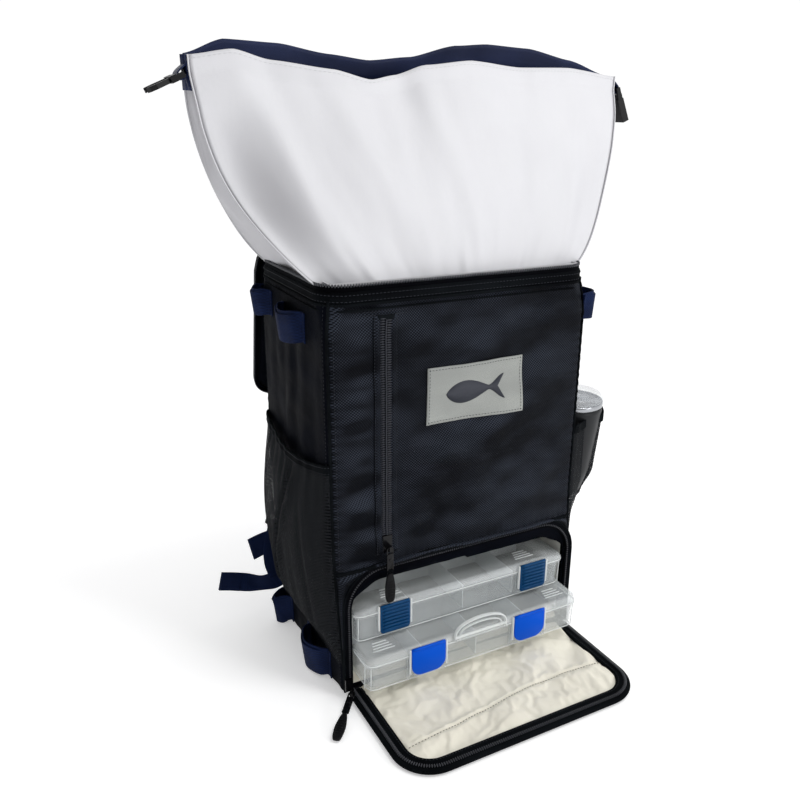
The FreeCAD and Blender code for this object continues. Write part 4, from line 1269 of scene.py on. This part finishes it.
def tray(name, latch_paint, ribbed):
    """One utility tray with its lid, moulded ribs and latches."""
    shell, low, high = tray_shell(name)
    ribs = []
    latches = [cad(name + "_latch_" + side) for side in ("left", "right")]
    for latch_low, latch_high in latches:
        for x in (latch_low.x - 4, latch_low.x - 1.2, latch_high.x + 1.2, latch_high.x + 4):
            outline = rounded(0.5, (high.z - low.z) / 2 - 3, 0.4, 2)
            ribs.append(plate([(a + x, b + (low.z + high.z) / 2 - 1) for a, b in outline], -2.6, 1.0, 0.3,
                              upright(low.y)))
    piece(name + "_shell", join(shell, *ribs), name, "clear", [name + "_base"])

    lid_low, lid_high = cad(name + "_lid")
    mid = ((lid_low.x + lid_high.x) / 2, (lid_low.y + lid_high.y) / 2)
    half = ((lid_high.x - lid_low.x) / 2, (lid_high.y - lid_low.y) / 2)
    slope = 24.0 if ribbed else 0.0
    levels = [(1.0, 0, lid_low.z), (0.0, 0, lid_low.z), (0.0, 0, lid_low.z + 3.6), (0.9, 0, lid_low.z + 4.2),
              (0.9, 0, lid_high.z - 4.2 if ribbed else lid_high.z - 1.4), (2.2, slope, lid_high.z),
              (7.0, slope, lid_high.z), (7.8, slope, lid_high.z - 0.9)]
    points = [(mid[0] + a, mid[1] + b, z) for inset, ends, z in levels
              for a, b in rounded(half[0] - inset - ends, half[1] - inset, 10 - ends * 0.25, TRAY_STEPS)]
    faces = stacked_faces(TRAY_COUNT, len(levels), foot=False)
    top = lid_high.z - 0.9
    raised = []
    for hand in (-1, 1):
        for k in range(4):
            x = mid[0] + hand * (half[0] - 26 - slope)
            y = lid_low.y + 14 + k * 4.6
            bar = rounded(13 - k * 1.5, 0.8, 0.7, 3)
            raised.append(plate([(a + x, b + y) for a, b in bar], top - 0.1, top + 0.7, 0.3, as_is))
    for k in range(4):
        x = mid[0] + (k - 1.5) * half[0] * 0.5
        hinge = [np.array((x - 14 + 28 * i / 6, lid_high.y - 1.2, lid_low.z + 1.2)) for i in range(7)]
        raised.append(sweep(frames_along(hinge, (0, 0, 1)), circle(1.5, 8)))
    piece(name + "_cover", (points, faces), name, "clear", [name + "_lid"], thick=1.1)
    piece(name + "_cover_ribs", join(*raised), name, "clear_edge")

    lines = []
    for inset, corner, z, radius in ((0.2, 10, lid_low.z + 0.6, 0.75), (3.6, 8, low.z + 1.0, 0.6)):
        edge = [np.array((mid[0] + a, mid[1] + b, z))
                for a, b in rounded(half[0] - inset, half[1] - inset, corner, TRAY_STEPS)]
        lines.append(sweep(frames_along(edge, (0, 0, 1), closed=True), circle(radius, 6), closed=True))
    heights = (low.z + 1, (low.z + high.z) / 2, high.z - 2)
    for a, b in ((-half[0] + 5.2, low.y + 0.9), (half[0] - 5.2, low.y + 0.9), (-half[0] + 1.2, low.y + 8)):
        stand = [np.array((mid[0] + a, b + (high.z - z) * 0.05, z)) for z in heights]
        lines.append(sweep(frames_along(stand, (1, 0, 0)), circle(0.6, 6)))
    piece(name + "_lid_bead", join(*lines), name, "clear_edge")
    for side, (latch_low, latch_high) in zip(("left", "right"), latches):
        latch(name, side, latch_low, latch_high, latch_paint, ribbed)


def latch(tray_name, side, low, high, paint, ribbed):
    """One front latch: a curved plate with a rolled top, and ribs or a smooth belly."""
    body = tray_name.replace("_tray", "") + "_latch_" + side
    node = tray_name + "_latch_" + side
    mid_x, half_a, half_b = (low.x + high.x) / 2, (high.x - low.x) / 2, (high.z - low.z) / 2
    mid_z = (low.z + high.z) / 2
    corner = 4.0 if ribbed else 13.0

    def hold(a, b, c):
        curl = -0.8 * (b / half_b) ** 2
        return (a, low.y + (high.y - low.y) - c - curl - 0.4, b + mid_z)
    parts = [plate(latch_outline(half_a, half_b, corner, mid_x), 0.0, 2.2, 0.6, hold)]
    if ribbed:
        rib = [(1.3, -0.4), (0.9, 0.8), (-0.9, 0.8), (-1.3, -0.4)]
        for k in range(7):
            b = half_b - 4.5 - k * 4.4
            line = [np.array(hold(mid_x - half_a + 2.4 + (2 * half_a - 4.8) * i / 8, b, 2.3))
                    for i in range(9)]
            parts.append(sweep(frames_along(line, (0, 0, 1)), rib))
    roll = [np.array((mid_x - half_a + 1 + (2 * half_a - 2) * i / 6, high.y - 1.0, high.z - 1.4))
            for i in range(7)]
    parts.append(sweep(frames_along(roll, (0, 0, 1)), circle(1.7, 10)))
    piece(node + "_moulded", join(*parts), body, paint, [node])
    tabs = []
    for hand in (-1, 1):
        x = mid_x + hand * (half_a + 1.7)
        tab = rounded(1.1, half_b * 0.86, 0.9, 3)
        tabs.append(plate([(a + x, b + mid_z + 2) for a, b in tab], -0.5, 2.2, 0.5, upright(high.y + 0.4)))
    piece(node + "_cheeks", join(*tabs), tray_name, "clear_edge")


def latch_outline(half_a, half_b, corner, mid_x):
    """Square at the top, rounded at the bottom, anticlockwise."""
    outline = [(half_a, half_b - 1), (half_a - 1, half_b), (1 - half_a, half_b), (-half_a, half_b - 1)]
    for centre, start in ((corner - half_a, 2), (half_a - corner, 3)):
        outline += arc((centre, corner - half_b), corner, start, 1, 6)
    return [(a + mid_x, b) for a, b in outline]


def tray_handle():
    """The lower tray's moulded D handle, a double rib on the lid's lip."""
    low, high = cad("lower_tray_handle")
    mid, y = (low.x + high.x) / 2, (low.y + high.y) / 2
    base = low.z + 6
    parts = []
    for half, rise, section in ((33.5, 17.0, rounded(1.0, 2.2, 0.7, 2)),
                                (27.5, 11.0, rounded(0.7, 1.5, 0.5, 2))):
        line = [np.array((mid - half, y, low.z + 1))]
        for k in range(25):
            angle = math.pi * (1 - k / 24)
            line.append(np.array((mid + half * math.cos(angle), y, base + rise * math.sin(angle) ** 0.8)))
        line.append(np.array((mid + half, y, low.z + 1)))
        parts.append(sweep(frames_along(line, (0, -1, 0)), [(q, p) for p, q in section]))
    shelf = rounded(34, 1.4, 1.0, 3)
    parts.append(plate([(a + mid, b + base - 1.2) for a, b in shelf], -1.2, 2.0, 0.5, upright(y)))
    piece("tray_handle_moulded", join(*parts), "lower_tray", "clear_edge",
          ["lower_tray_handle"])


# ---------------------------------------------------------------- zip hardware

def pull_place(pivot, lay, yaw):
    """Places (a, b, c) on a pull that hangs from a pivot: a across, b along it downwards, c off its face."""
    turn = Matrix.Rotation(math.radians(-yaw), 3, "Z") @ Matrix.Rotation(math.radians(-lay), 3, "X")

    def place(a, b, c):
        return np.array(turn @ Vector((a, -c, -b))) + pivot
    return place


GRIP_LENGTH, GRIP_HALF = 36.0, 5.9


def zip_pull(name, pivot, lay, yaw, tab_length, body):
    """Metal ring and rivet plate, a cord knot, and a moulded grip with cross ribs."""
    place = pull_place(pivot, lay, yaw)

    def line(points):
        return [place(*p) for p in points]
    bend = line([(3.1, 7, 0), (3.1, 1.5, 0), (2.0, -0.9, 0), (0, -1.4, 0), (-2.0, -0.9, 0), (-3.1, 1.5, 0),
                 (-3.1, 7, 0)])
    off = np.array(place(0, 0, 1)) - place(0, 0, 0)
    wire = sweep(frames_along(spline(bend, 4), off), circle(0.95, 8))
    tab = [(a, b + (tab_length + 6) / 2) for a, b in rounded(3.9, (tab_length - 6) / 2, 1.6, 4)]
    tab_part = plate(tab, -1.1, 1.1, 0.4, place)
    rivet = plate([(a, b + tab_length * 0.48) for a, b in circle(1.9, 14)], 0.9, 1.8, 0.4, place)
    piece(name + "_tab", join(wire, tab_part, rivet), body, "gloss_black", [name])
    cords = []
    for hand in (-1, 1):
        loop = line([(hand * 1.5, tab_length - 4, 0.4), (hand * 2.1, tab_length - 1, 1.3),
                     (hand * 1.5, tab_length + 3, 0)])
        cords.append(sweep(frames_along(spline(loop, 5), off), circle(1.0, 7)))
    knot = line([(-3.6, tab_length - 1.0, 0.7), (0, tab_length - 1.4, 1.7), (3.6, tab_length - 1.0, 0.7)])
    cords.append(sweep(frames_along(spline(knot, 5), off), circle(1.25, 8)))
    piece(name + "_cord", join(*cords), body, "binding")
    outline = []
    for k in range(40):
        angle = TAU * k / 40
        b = -math.cos(angle) * GRIP_LENGTH / 2
        half = GRIP_HALF * (1 - 0.22 * smoothstep((2 - b) / (GRIP_LENGTH / 2)))
        outline.append((math.copysign(abs(math.sin(angle)) ** 0.42, math.sin(angle)) * half,
                        b + tab_length + 1.5 + GRIP_LENGTH / 2))
    parts = [plate(outline, -1.8, 1.8, 0.9, place)]
    for k in range(6):
        b = tab_length + 12 + k * 3.4
        for face in (-1, 1):
            bar = line([(-3.0, b, face * 1.7), (0, b, face * 2.1), (3.0, b, face * 1.7)])
            parts.append(sweep(frames_along(spline(bar, 3), off), circle(0.55, 6)))
    piece(name + "_grip", join(*parts), body, "grip")


def zip_hardware():
    """Both sliders with their pulls."""
    for name, lay, yaw, tab_length in (("pocket", 0.0, 0.0, 28.0), ("door", 85.5, 38.0, 30.0)):
        repaint(name + "_slider", "gloss_black", 0.7)
        zip_pull(name + "_pull", joint_place(name + "_pull_swing"), lay, yaw, tab_length, name + "_zip_pull")


# ---------------------------------------------------------------- webbing loops and straps

def webbing_section(width, thickness=1.8):
    """Section of a strap as a list of pairs."""
    return rounded(width / 2, thickness / 2, thickness * 0.45, 3)


def box_stitch(centre, a, b, half_a, half_b, normal):
    """A sewn box with a cross in it."""
    corners = [centre + a * (i * half_a) + b * (j * half_b) for i, j in ((-1, -1), (1, -1), (1, 1), (-1, 1))]
    rows = []
    for i, j in ((0, 1), (1, 2), (2, 3), (3, 0), (0, 2), (1, 3)):
        run = corners[j] - corners[i]
        line = [corners[i] + run * k / 10 for k in range(11)]
        rows.append(stitches(line, np.cross(normal, run), *BOX_STITCH, lift=0.1))
    return join(*rows)


def gear_loop(face, s0, s1, low, high, out, sag):
    """One webbing loop, doubled, standing off a side panel with both ends sewn down."""
    mid_z, width = (low + high) / 2, high - low
    half = SEAM_S[face]
    hand = -1 if face == "left" else 1
    parts = []
    for layer, rise in ((0.0, 2.4), (2.1, 0.0)):
        route = []
        stations = ((s0 - 6, 1.2, 0), (s0, 1.4, 0), (s0 + 5, out * 0.55 + layer, sag * 0.4),
                    (s0 + (s1 - s0) * 0.3, out - 2 + layer, sag), ((s0 + s1) / 2, out + layer, sag * 1.1),
                    (s0 + (s1 - s0) * 0.7, out - 2.5 + layer, sag), (s1 - 5, out * 0.5 + layer, sag * 0.4),
                    (s1, 1.4, 0), (s1 + 6, 1.2, 0))
        for s, stand, drop in stations:
            ragged = 0.8 * soft(s / 6, layer * 3, mid_z)
            z = mid_z - drop + rise * (stand > 4) + ragged
            route.append(wall(face, max(-half, min(half, s)), z, stand, crumpled=False))
        line = spline(route, 6)
        turns = np.linspace(0, math.pi, len(line))
        tilt = [(hand * 0.12 * math.sin(turn), 0, 1) for turn in turns]
        parts.append(sweep(frames_along(line, tilt), webbing_section(width - layer * 0.6)))
    return join(*parts)


def gear_loops():
    """Four loops a side, two high and two low."""
    for face, node in (("left", "gear_loops_left"), ("right", "gear_loops_right")):
        hand = -1 if face == "left" else 1
        if face == "left":
            spans = [(-14, 40, 394, 425, 14, 3.0), (-93, -58, 401, 429, 13, 2.0), (2, 58, 4, 40, 17, 2.0),
                     (-91, -65, 4, 39, 16, 5.0)]
        else:
            spans = [(-92, -44, 397, 426, 22, 1.5), (58, 93, 401, 429, 13, 2.0), (-58, -2, 4, 40, 17, 2.0),
                     (62, 91, 4, 40, 17, 1.5)]
        loops = [gear_loop(face, *span) for span in spans]
        piece(node + "_webbing", join(*loops), "pack", "webbing", [node])
        rows = []
        for s0, s1, low, high, _, _ in spans:
            for s in (s0 - 1, s1 + 1):
                s = max(-SEAM_S[face] + 6, min(SEAM_S[face] - 6, s))
                centre = wall(face, s, (low + high) / 2, 2.6, crumpled=False)
                rows.append(box_stitch(centre, np.array((0, 1.0, 0)), np.array((0, 0, 1.0)), 4,
                                       (high - low) / 2 - 4, np.array((hand, 0, 0))))
        piece(node + "_stitches", join(*rows), "pack", "webbing")


def straps_and_back():
    """Back pad, shoulder straps, their webbing, the ladder locks, the free tail and the haul handle."""
    low, high = cad("back_pad")
    mid = ((low.x + high.x) / 2, (low.z + high.z) / 2)
    half_a, half_b = (high.x - low.x) / 2 - 2, (high.z - low.z) / 2 - 2
    start, depth = low.y + 1.5, high.y - low.y - 3.0
    pad = plate([(a + mid[0], b + mid[1]) for a, b in rounded(half_a, half_b, 24, 8)], 0, depth, 2.5,
                lambda a, b, c: (a, start + c, b))
    obj = piece("back_pad_cloth", pad, "pack", "side_cloth", ["back_pad"])
    puff(obj, 5.0, 3.0, 4.0)
    channels = []
    for z in (mid[1] - 85, mid[1], mid[1] + 85):
        line = [np.array((x, high.y + 0.2, z + 7 * math.cos(x / 60)))
                for x in np.linspace(-half_a + 12, half_a - 12, 50)]
        channels.append(sweep(frames_along(line, (0, 0, 1)), rounded(1.8, 0.8, 0.6, 2)))
    piece("back_pad_channels", join(*channels), "pack", "binding")
    edge = [np.array((a + mid[0], low.y + 1.0, b + mid[1]))
            for a, b in rounded(half_a + 1.6, half_b + 1.6, 25, 8)]
    piece("back_pad_piping", sweep(frames_along(edge, (0, 1, 0), closed=True), circle(1.8, 8), closed=True),
          "pack", "binding")

    low, high = cad("shoulder_straps")
    y, thick = low.y + 1.0, high.y - low.y - 2.0
    centre = [(-50, 392), (-74, 352), (-96, 305), (-110, 250), (-117, 196)]
    widths = [(0.0, 24.0), (0.35, 25.0), (1.0, 22.0)]
    path = np.array([p[:2] for p in spline([(x, z, 0) for x, z in centre], 8)])
    run = np.gradient(path, axis=0)
    run /= np.linalg.norm(run, axis=1)[:, None]
    side = np.stack([run[:, 1], -run[:, 0]], 1)
    half = np.interp(np.linspace(0, 1, len(path)), *zip(*widths))[:, None]
    outline = np.concatenate([path + side * half, (path - side * half)[::-1]])
    if signed_area(outline) < 0:
        outline = outline[::-1]
    for hand, name in ((1, "left"), (-1, "right")):
        shape = outline if hand > 0 else (outline * (-1, 1))[::-1]
        strap = plate(shape, 0, thick, 2.4, lambda a, b, c: (a, y + c, b))
        hides = ["shoulder_straps"] if hand > 0 else []
        obj = piece("shoulder_strap_" + name, strap, "pack", "side_cloth", hides)
        puff(obj, 4.5, 3.0, 3.5)
        rail = [np.array((hand * p[0], high.y + 0.6, p[1])) for p in path[3:-1]]
        webbing = sweep(frames_along(rail, (-side[10][0] * hand, 0, -side[10][1])), webbing_section(24, 1.6))
        piece("shoulder_webbing_" + name, webbing, "pack", "webbing")

    y = cad("strap_anchors")[0].y + 1.0
    upper, lower, locks = [], [], []
    for hand in (-1, 1):
        lock = np.array((hand * 141.0, y, 134.0))
        route = [(hand * 116, y + 1, 200), (hand * 123, y, 180), (hand * 133, y, 158),
                 (hand * 137, y - 0.5, 146)]
        upper.append(sweep(frames_along(spline(route, 5), (1, 0, 0.3 * hand)), webbing_section(NARROW_WEB)))
        route = [(hand * 144, y, 126), (hand * 149, y + 1.5, 108), (hand * 154, y + 0.5, 88),
                 (hand * 155, y - 3, 70), (hand * 151, y - 7, 54)]
        lower.append(sweep(frames_along(spline(route, 6), (1, 0, 0.25 * hand)), webbing_section(NARROW_WEB)))
        tab = [(hand * 142, y + 2, 96), (hand * 156, y + 3.4, 97), (hand * 168, y + 3.6, 95),
               (hand * 182, y + 2, 92)]
        lower.append(sweep(frames_along(spline(tab, 6), (0.28 * hand, 0, 1)), webbing_section(31, 2.2)))
        tilt = Matrix.Rotation(math.radians(-20.0 * hand), 3, "Y")

        def hold(a, b, c, lock=lock, tilt=tilt):
            return np.array(tilt @ Vector((a, c, b))) + lock
        rails = []
        for b in (-14.0, 0.0, 14.0):
            line = [hold(a, b, 1.0 + (1.2 if b == 0 else 0)) for a in np.linspace(-14.5, 14.5, 9)]
            rails.append(sweep(frames_along(line, (0, 1, 0)), rounded(2.0, 2.3, 1.2, 3)))
        for a in (-14.8, 14.8):
            line = [hold(a, b, 1.0) for b in np.linspace(-15, 15, 9)]
            rails.append(sweep(frames_along(line, (0, 1, 0)), rounded(2.4, 2.0, 1.2, 3)))
        locks.append(join(*rails))
    piece("strap_webs_webbing", join(*upper), "pack", "webbing", ["strap_webs"])
    piece("ladder_locks_moulded", join(*locks), "pack", "buckle", ["ladder_locks"])
    tail = [(-146, y - 1, 46), (-156, y + 1, 41), (-168, y + 3, 40), (-181, y + 4, 43), (-194, y + 5, 47),
            (-208, y + 5, 52), (-223, y + 4, 57)]
    line = spline(tail, 7)
    turns = np.linspace(0, 1, len(line))
    roll = [0.25 + 0.95 * math.exp(-((k - 0.36) / 0.26) ** 2) for k in turns]
    twist = [(0.30 + 0.3 * k, math.sin(a), math.cos(a)) for k, a in zip(turns, roll)]
    lower.append(sweep(frames_along(line, twist), webbing_section(23)))
    fold = frames_along(line[-13:], np.array(twist[-13:]))
    lower.append(sweep([(o - b * 2.0, a, b) for o, a, b in fold], webbing_section(23)))
    piece("strap_anchor_webbing", join(*lower), "pack", "webbing", ["strap_anchors"])

    low, high = cad("haul_handle")
    z = (low.z + high.z) / 2
    route = [(low.x - 6, low.y + 0.6, z - 3), (low.x + 2, low.y + 1.4, z - 2), (low.x + 14, high.y - 2, z),
             (low.x + 34, high.y + 1, z + 1), (0, high.y + 2, z + 2), (high.x - 34, high.y + 1, z + 1),
             (high.x - 14, high.y - 2, z), (high.x - 2, low.y + 1.4, z - 2), (high.x + 6, low.y + 0.6, z - 3)]
    handle = sweep(frames_along(spline(route, 6), (0, 0, 1)), webbing_section(high.z - low.z, 2.2))
    piece("haul_handle_webbing", handle, "pack", "webbing", ["haul_handle"])


def signed_area(outline):
    """Area of an outline of pairs, positive when it runs anticlockwise."""
    a, b = np.array(outline).T
    return 0.5 * float(np.sum(a * np.roll(b, -1) - b * np.roll(a, -1)))


# ---------------------------------------------------------------- side pockets and tumbler

def left_pocket():
    """Gathered mesh pocket on the left side, with a bound elastic hem that dips in the middle."""
    low, high = cad("mesh_pocket_left")
    reach = -HALF_W - low.x
    half = SEAM_S["left"] - 0.5

    def cloth(u, v, out=0.0):
        t = 2 * u - 1
        top = high.z + 2 + 6 * t * t - 5 * smoothstep((t + 0.6) / 0.9) * (1 - t * t)
        z = low.z - 8 + (top - low.z + 8) * v
        belly = (1 - abs(t) ** (3.4 - 1.6 * v * v)) * reach
        belly *= 0.42 + 0.5 * math.sin(math.pi * (0.10 + 0.70 * v))
        belly *= 1 - 0.35 * smoothstep((v - 0.8) / 0.2)
        rear = 5.5 * math.exp(-((t + 0.72) / 0.2) ** 2) * math.sin(math.pi * min(1, v * 1.02)) ** 0.7
        # one deep fold in the shape of an S, and two shallow ones
        line = -0.50 + 0.72 * smoothstep((v - 0.2) / 0.8)
        fold = -9.0 * math.exp(-((t - line) / 0.055) ** 2) + 3.0 * math.exp(-((t - line - 0.14) / 0.08) ** 2)
        fold -= 3.2 * math.exp(-((t + 0.78 - 0.2 * v) / 0.05) ** 2)
        fold -= 2.2 * math.exp(-((t - 0.62 + 0.2 * v) / 0.06) ** 2)
        gathers = 0.6 * math.sin(t * 34 + 3 * soft(v * 2, t * 2)) * smoothstep((v - 0.62) / 0.38)
        stand = 1.6 + belly + rear + (fold * math.sin(math.pi * (0.08 + 0.86 * v)) + gathers
                                      + 1.6 * soft(t * 4.5, v * 2.4, 3)) * (1 - t ** 4)
        stand = max(1.2, stand) * (smoothstep(v * 6) * 0.9 + 0.1)
        return wall("left", t * half, z, max(0.9, stand + out), crumpled=False)
    piece("mesh_pocket_left_net", surface(cloth, 170, 110), "pack", "net", ["mesh_pocket_left"],
          thick=NET)
    hem = [cloth(k / 90, 1.0, 0.5) for k in range(91)]
    rows = []
    for drop in (1.6, 8.2):
        rows.append(beads([(o - (0, 0, drop) - (1.25, 0, 0), np.cross(a, b), b)
                           for o, a, b in frames_along(even(hem, 3.6), (0, 0, 1))], 1.2, 0.3))
    return hem_binding(hem), join(*rows)


def hem_binding(hem):
    """A flat binding hanging from a pocket's top edge."""
    frames = frames_along(hem, (0, 0, 1))
    return sweep([(o - (0, 0, 4.6), a, b) for o, a, b in frames], rounded(5.4, 1.0, 0.9, 3))


FOOT_TAPER, FOOT_RISE = 11.0, 38.0


def right_pocket():
    """Mesh pocket on the right side, stretched round the tumbler."""
    low, high = cad("mesh_pocket_right")
    (centre, top_r, foot_r, foot_z), cup_top = cup_shape(), cad("tumbler_cup")[1].z
    half = SEAM_S["right"] - 0.5
    reach = centre[0] - HALF_W

    def cloth(u, v, out=0.0):
        t = 2 * u - 1
        y = t * half
        top = high.z + 8 - 15 * math.exp(-((t + 0.75) / 0.35) ** 2) - 6 * smoothstep(t * 1.6)
        z = low.z - 6 + (top - low.z + 6) * v
        radius = foot_r + (top_r - foot_r) * (z - foot_z) / (cup_top - foot_z) + 2.0
        radius -= FOOT_TAPER * smoothstep((foot_z + FOOT_RISE - z) / FOOT_RISE)
        shrink = 1.0
        if z < foot_z:
            shrink = max(0.0, 1 - ((foot_z - z) / 95) ** 0.8)
            radius = (foot_r + 2.0 - FOOT_TAPER) * shrink
        away = y - centre[1]
        span = centre[1] + half if away < 0 else half - centre[1]
        tent = (reach * shrink + radius) * max(0.0, 1 - (abs(away) / span) ** 1.15)
        stand = 1.6
        if abs(away) < radius:
            stand = reach * shrink + math.sqrt(radius * radius - away * away)
        stand = max(1.6, min(tent, reach + radius), stand if abs(away) < radius * 0.75 else 0)
        stand += 0.9 * soft(t * 7, v * 3, 6) * smoothstep(v * 5) * (1 - t ** 4) + out
        return wall("right", y, z, max(1.0, stand), crumpled=False)
    piece("mesh_pocket_right_net", surface(cloth, 160, 110), "pack", "net", ["mesh_pocket_right"],
          thick=NET)
    return hem_binding([cloth(k / 100, 1.0, 0.5) for k in range(101)])


def cup_shape():
    """The tumbler's axis, its radius at the rim and the foot, and the height of the foot."""
    low, high = cad("tumbler_cup")
    centre = ((low.x + high.x) / 2, (low.y + high.y) / 2)
    top = (high.x - low.x) / 2
    return centre, top, top - 11, low.z + 14


def pockets():
    """Both side pockets and their hems."""
    left_hem, thread = left_pocket()
    piece("pocket_hem_bindings", join(left_hem, right_pocket()), "pack", "binding", ["pocket_hems"])
    piece("pocket_hem_stitches", thread, "pack", "thread")


def lathe(profile, centre):
    """A turned shape from (radius, z) pairs, with flat ends."""
    sides = 64
    points = [(centre[0] + x, centre[1] + y, z) for radius, z in profile for x, y in circle(radius, sides)]
    return points, stacked_faces(sides, len(profile))


def tumbler():
    """Powder-coated steel tumbler with a bare rim and a clear lid."""
    low, high = cad("tumbler_cup")
    centre, top, foot, foot_z = cup_shape()
    low.z = foot_z
    heel = foot - FOOT_TAPER
    side = [(foot - 6.4, 13), (foot - 2.2, 25), (foot + 1.4, FOOT_RISE)]
    cup = [(heel - 4, low.z + 0.8), (heel - 3, low.z), (heel - 0.8, low.z), (heel, low.z + 2)]
    cup += [(r, low.z + z) for r, z in side]
    cup += [(top - 0.6, high.z - 12), (top - 0.6, high.z - 6), (top - 2.4, high.z - 6),
            (top - 2.9, high.z - 10)]
    cup += [(r - 2.4, low.z + z) for r, z in reversed(side)]
    cup += [(heel - 2.6, low.z + 3.4), (heel - 8, low.z + 3.0)]
    piece("tumbler_body", lathe(cup, centre), "tumbler", "cup", ["tumbler_cup"])
    band = [(top - 2.4, high.z - 6.2), (top - 0.5, high.z - 6.2), (top - 0.1, high.z - 5),
            (top - 0.1, high.z - 1), (top - 0.6, high.z - 0.1), (top - 2.0, high.z - 0.1),
            (top - 2.6, high.z - 1.0)]
    piece("tumbler_rim", lathe(band, centre), "tumbler", "steel")
    low, high = cad("tumbler_lid")
    seat = high.z - 9
    cap = [(top - 8.5, low.z + 0.6), (top - 5.8, low.z), (top - 5.4, seat), (top - 0.6, seat + 0.2),
           (top, seat + 1.2), (top, seat + 4.2), (top - 1.0, seat + 5.2), (top - 3.0, high.z - 0.8),
           (top - 4.2, high.z), (top - 6.0, high.z - 1.2), (top - 8.0, high.z - 3.4), (8, high.z - 3.6),
           (7, high.z - 2.2), (2, high.z - 2.0)]
    piece("tumbler_lid_moulded", lathe(cap, centre), "tumbler", "clear_lid", ["tumbler_lid"])
    tab = [(a + centre[0], b + centre[1] - top * 0.45) for a, b in rounded(6, 9, 4, 4)]
    piece("tumbler_lid_tab", plate(tab, high.z - 3.6, high.z - 0.6, 0.7, as_is), "tumbler",
          "clear_lid")


# ---------------------------------------------------------------- lid and buckles

LID_LENGTH, LID_CORNER = 192.0, 22.0
LID_LEAN = math.radians(12.0)


def lid():
    """Padded lid hanging open behind the bag: puffed shell, pale lining, edge tape with teeth."""
    hinge = joint_place("lid_hinge")
    down = np.array((0, math.sin(LID_LEAN), -math.cos(LID_LEAN)))
    off = np.array((0, math.cos(LID_LEAN), math.sin(LID_LEAN)))

    def place(a, b, c):
        return hinge + np.array((a, 0, 0)) + down * b + off * c
    half, length, corner = HALF_W - 1.0, LID_LENGTH, LID_CORNER
    clean = [(half - 12, 2.0), (half - 7, 9.0), (half - 2.5, 20.0), (half, 34.0), (half, length - corner)]
    clean += arc((half - corner, length - corner), corner, 0, 1, 7)[1:]
    full = clean + [(-a, b) for a, b in reversed(clean)]

    def inside(inset):
        return [(math.copysign(max(0, abs(a) - inset), a), b - inset if b > 10 else b + inset * 0.5)
                for a, b in full]
    shell = plate(inside(1.2), 1.0, 7.0, 2.2, place)
    obj = piece("lid_shell_cloth", shell, "lid", "side_cloth", ["lid_shell", "lid_foam"])
    puff(obj, 5.0, 3.0, 2.2)
    lining = plate(inside(4.2), 7.4, 10.2, 0.9, place)
    skirt = plate(inside(2.2), 5.2, 9.4, 0.9, place)
    piece("lid_lining_edge", skirt, "lid", "binding")
    piece("lid_lining_cloth", lining, "lid", "liner", ["lid_lining"])
    edge = [place(a, b, 5.6) for a, b in full]
    frames = frames_along(even(edge, 5.0), off)
    tape = [(-4.6, -1.0), (-3.0, 0.9), (0, 1.2), (3.6, 1.0), (5.0, 0.3), (5.0, -0.9), (0, -1.2)]
    if frames[0][2][0] < 0:
        tape = [(p, -q) for p, q in reversed(tape)]
    piece("lid_edge_tape", sweep(frames, tape), "lid", "zip_tape", ["lid_zip_tape"])
    navy = [place(a * 0.998, b, 9.6) for a, b in inside(1.5)]
    navy = sweep(frames_along(even(navy, 5.0), off), rounded(2.6, 1.4, 1.2, 3))
    piece("lid_edge_binding", navy, "lid", "band")
    teeth = frames_along(even([place(a, b, 3.0) for a, b in full], 1.7), off)
    sign = 1 if teeth[0][2][0] > 0 else -1
    teeth = beads([(o + b * sign * 1.2, a, b) for o, a, b in teeth], 1.6, 0.62, 1.0)
    piece("lid_zip_coil", teeth, "lid", "coil")
    repaint("lid_hinge_strip", "binding")


def buckles():
    """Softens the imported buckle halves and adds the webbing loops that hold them."""
    for node in ("buckle_male", "buckle_female"):
        repaint(node, "buckle", 0.8)
    parts = []
    for hand, name in ((-1, "buckle_left_swing"), (1, "buckle_right_swing")):
        bar = joint_place(name)
        route = [bar + (-hand * 16, 0, 13.5), bar + (-hand * 7, 0, 10.5), bar + (hand * 0.5, 0, 5.0),
                 bar + (hand * 3.4, 0, 0.8), bar + (hand * 1.2, 0, -3.3), bar + (-hand * 2.4, 0, -2.4),
                 bar + (-hand * 6.0, 0, 2.0), bar + (-hand * 12, 0, 5.6)]
        parts.append(sweep(frames_along(spline(route, 6), (0, 1, 0)), webbing_section(18, 1.5)))
    piece("mouth_loops_webbing", join(*parts), "roll_top", "band", ["mouth_loops"])


def carried_over():
    """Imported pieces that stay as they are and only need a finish."""
    for node, material in (("liner_bucket", "liner"), ("lower_tray_dividers", "dividers"),
                           ("upper_tray_dividers", "dividers")):
        repaint(node, material)


def main():
    add_camera()
    add_floor()
    add_lights()
    bag_panels()
    corner_piping()
    rim()
    collar()
    mouth_bands()
    pocket_zip()
    label()
    seam_above_door()
    door_frame()
    bay_inside()
    door()
    tray("lower_tray", "latch_blue", ribbed=False)
    tray("upper_tray", "latch_navy", ribbed=True)
    tray_handle()
    zip_hardware()
    gear_loops()
    straps_and_back()
    pockets()
    tumbler()
    lid()
    buckles()
    carried_over()


main()
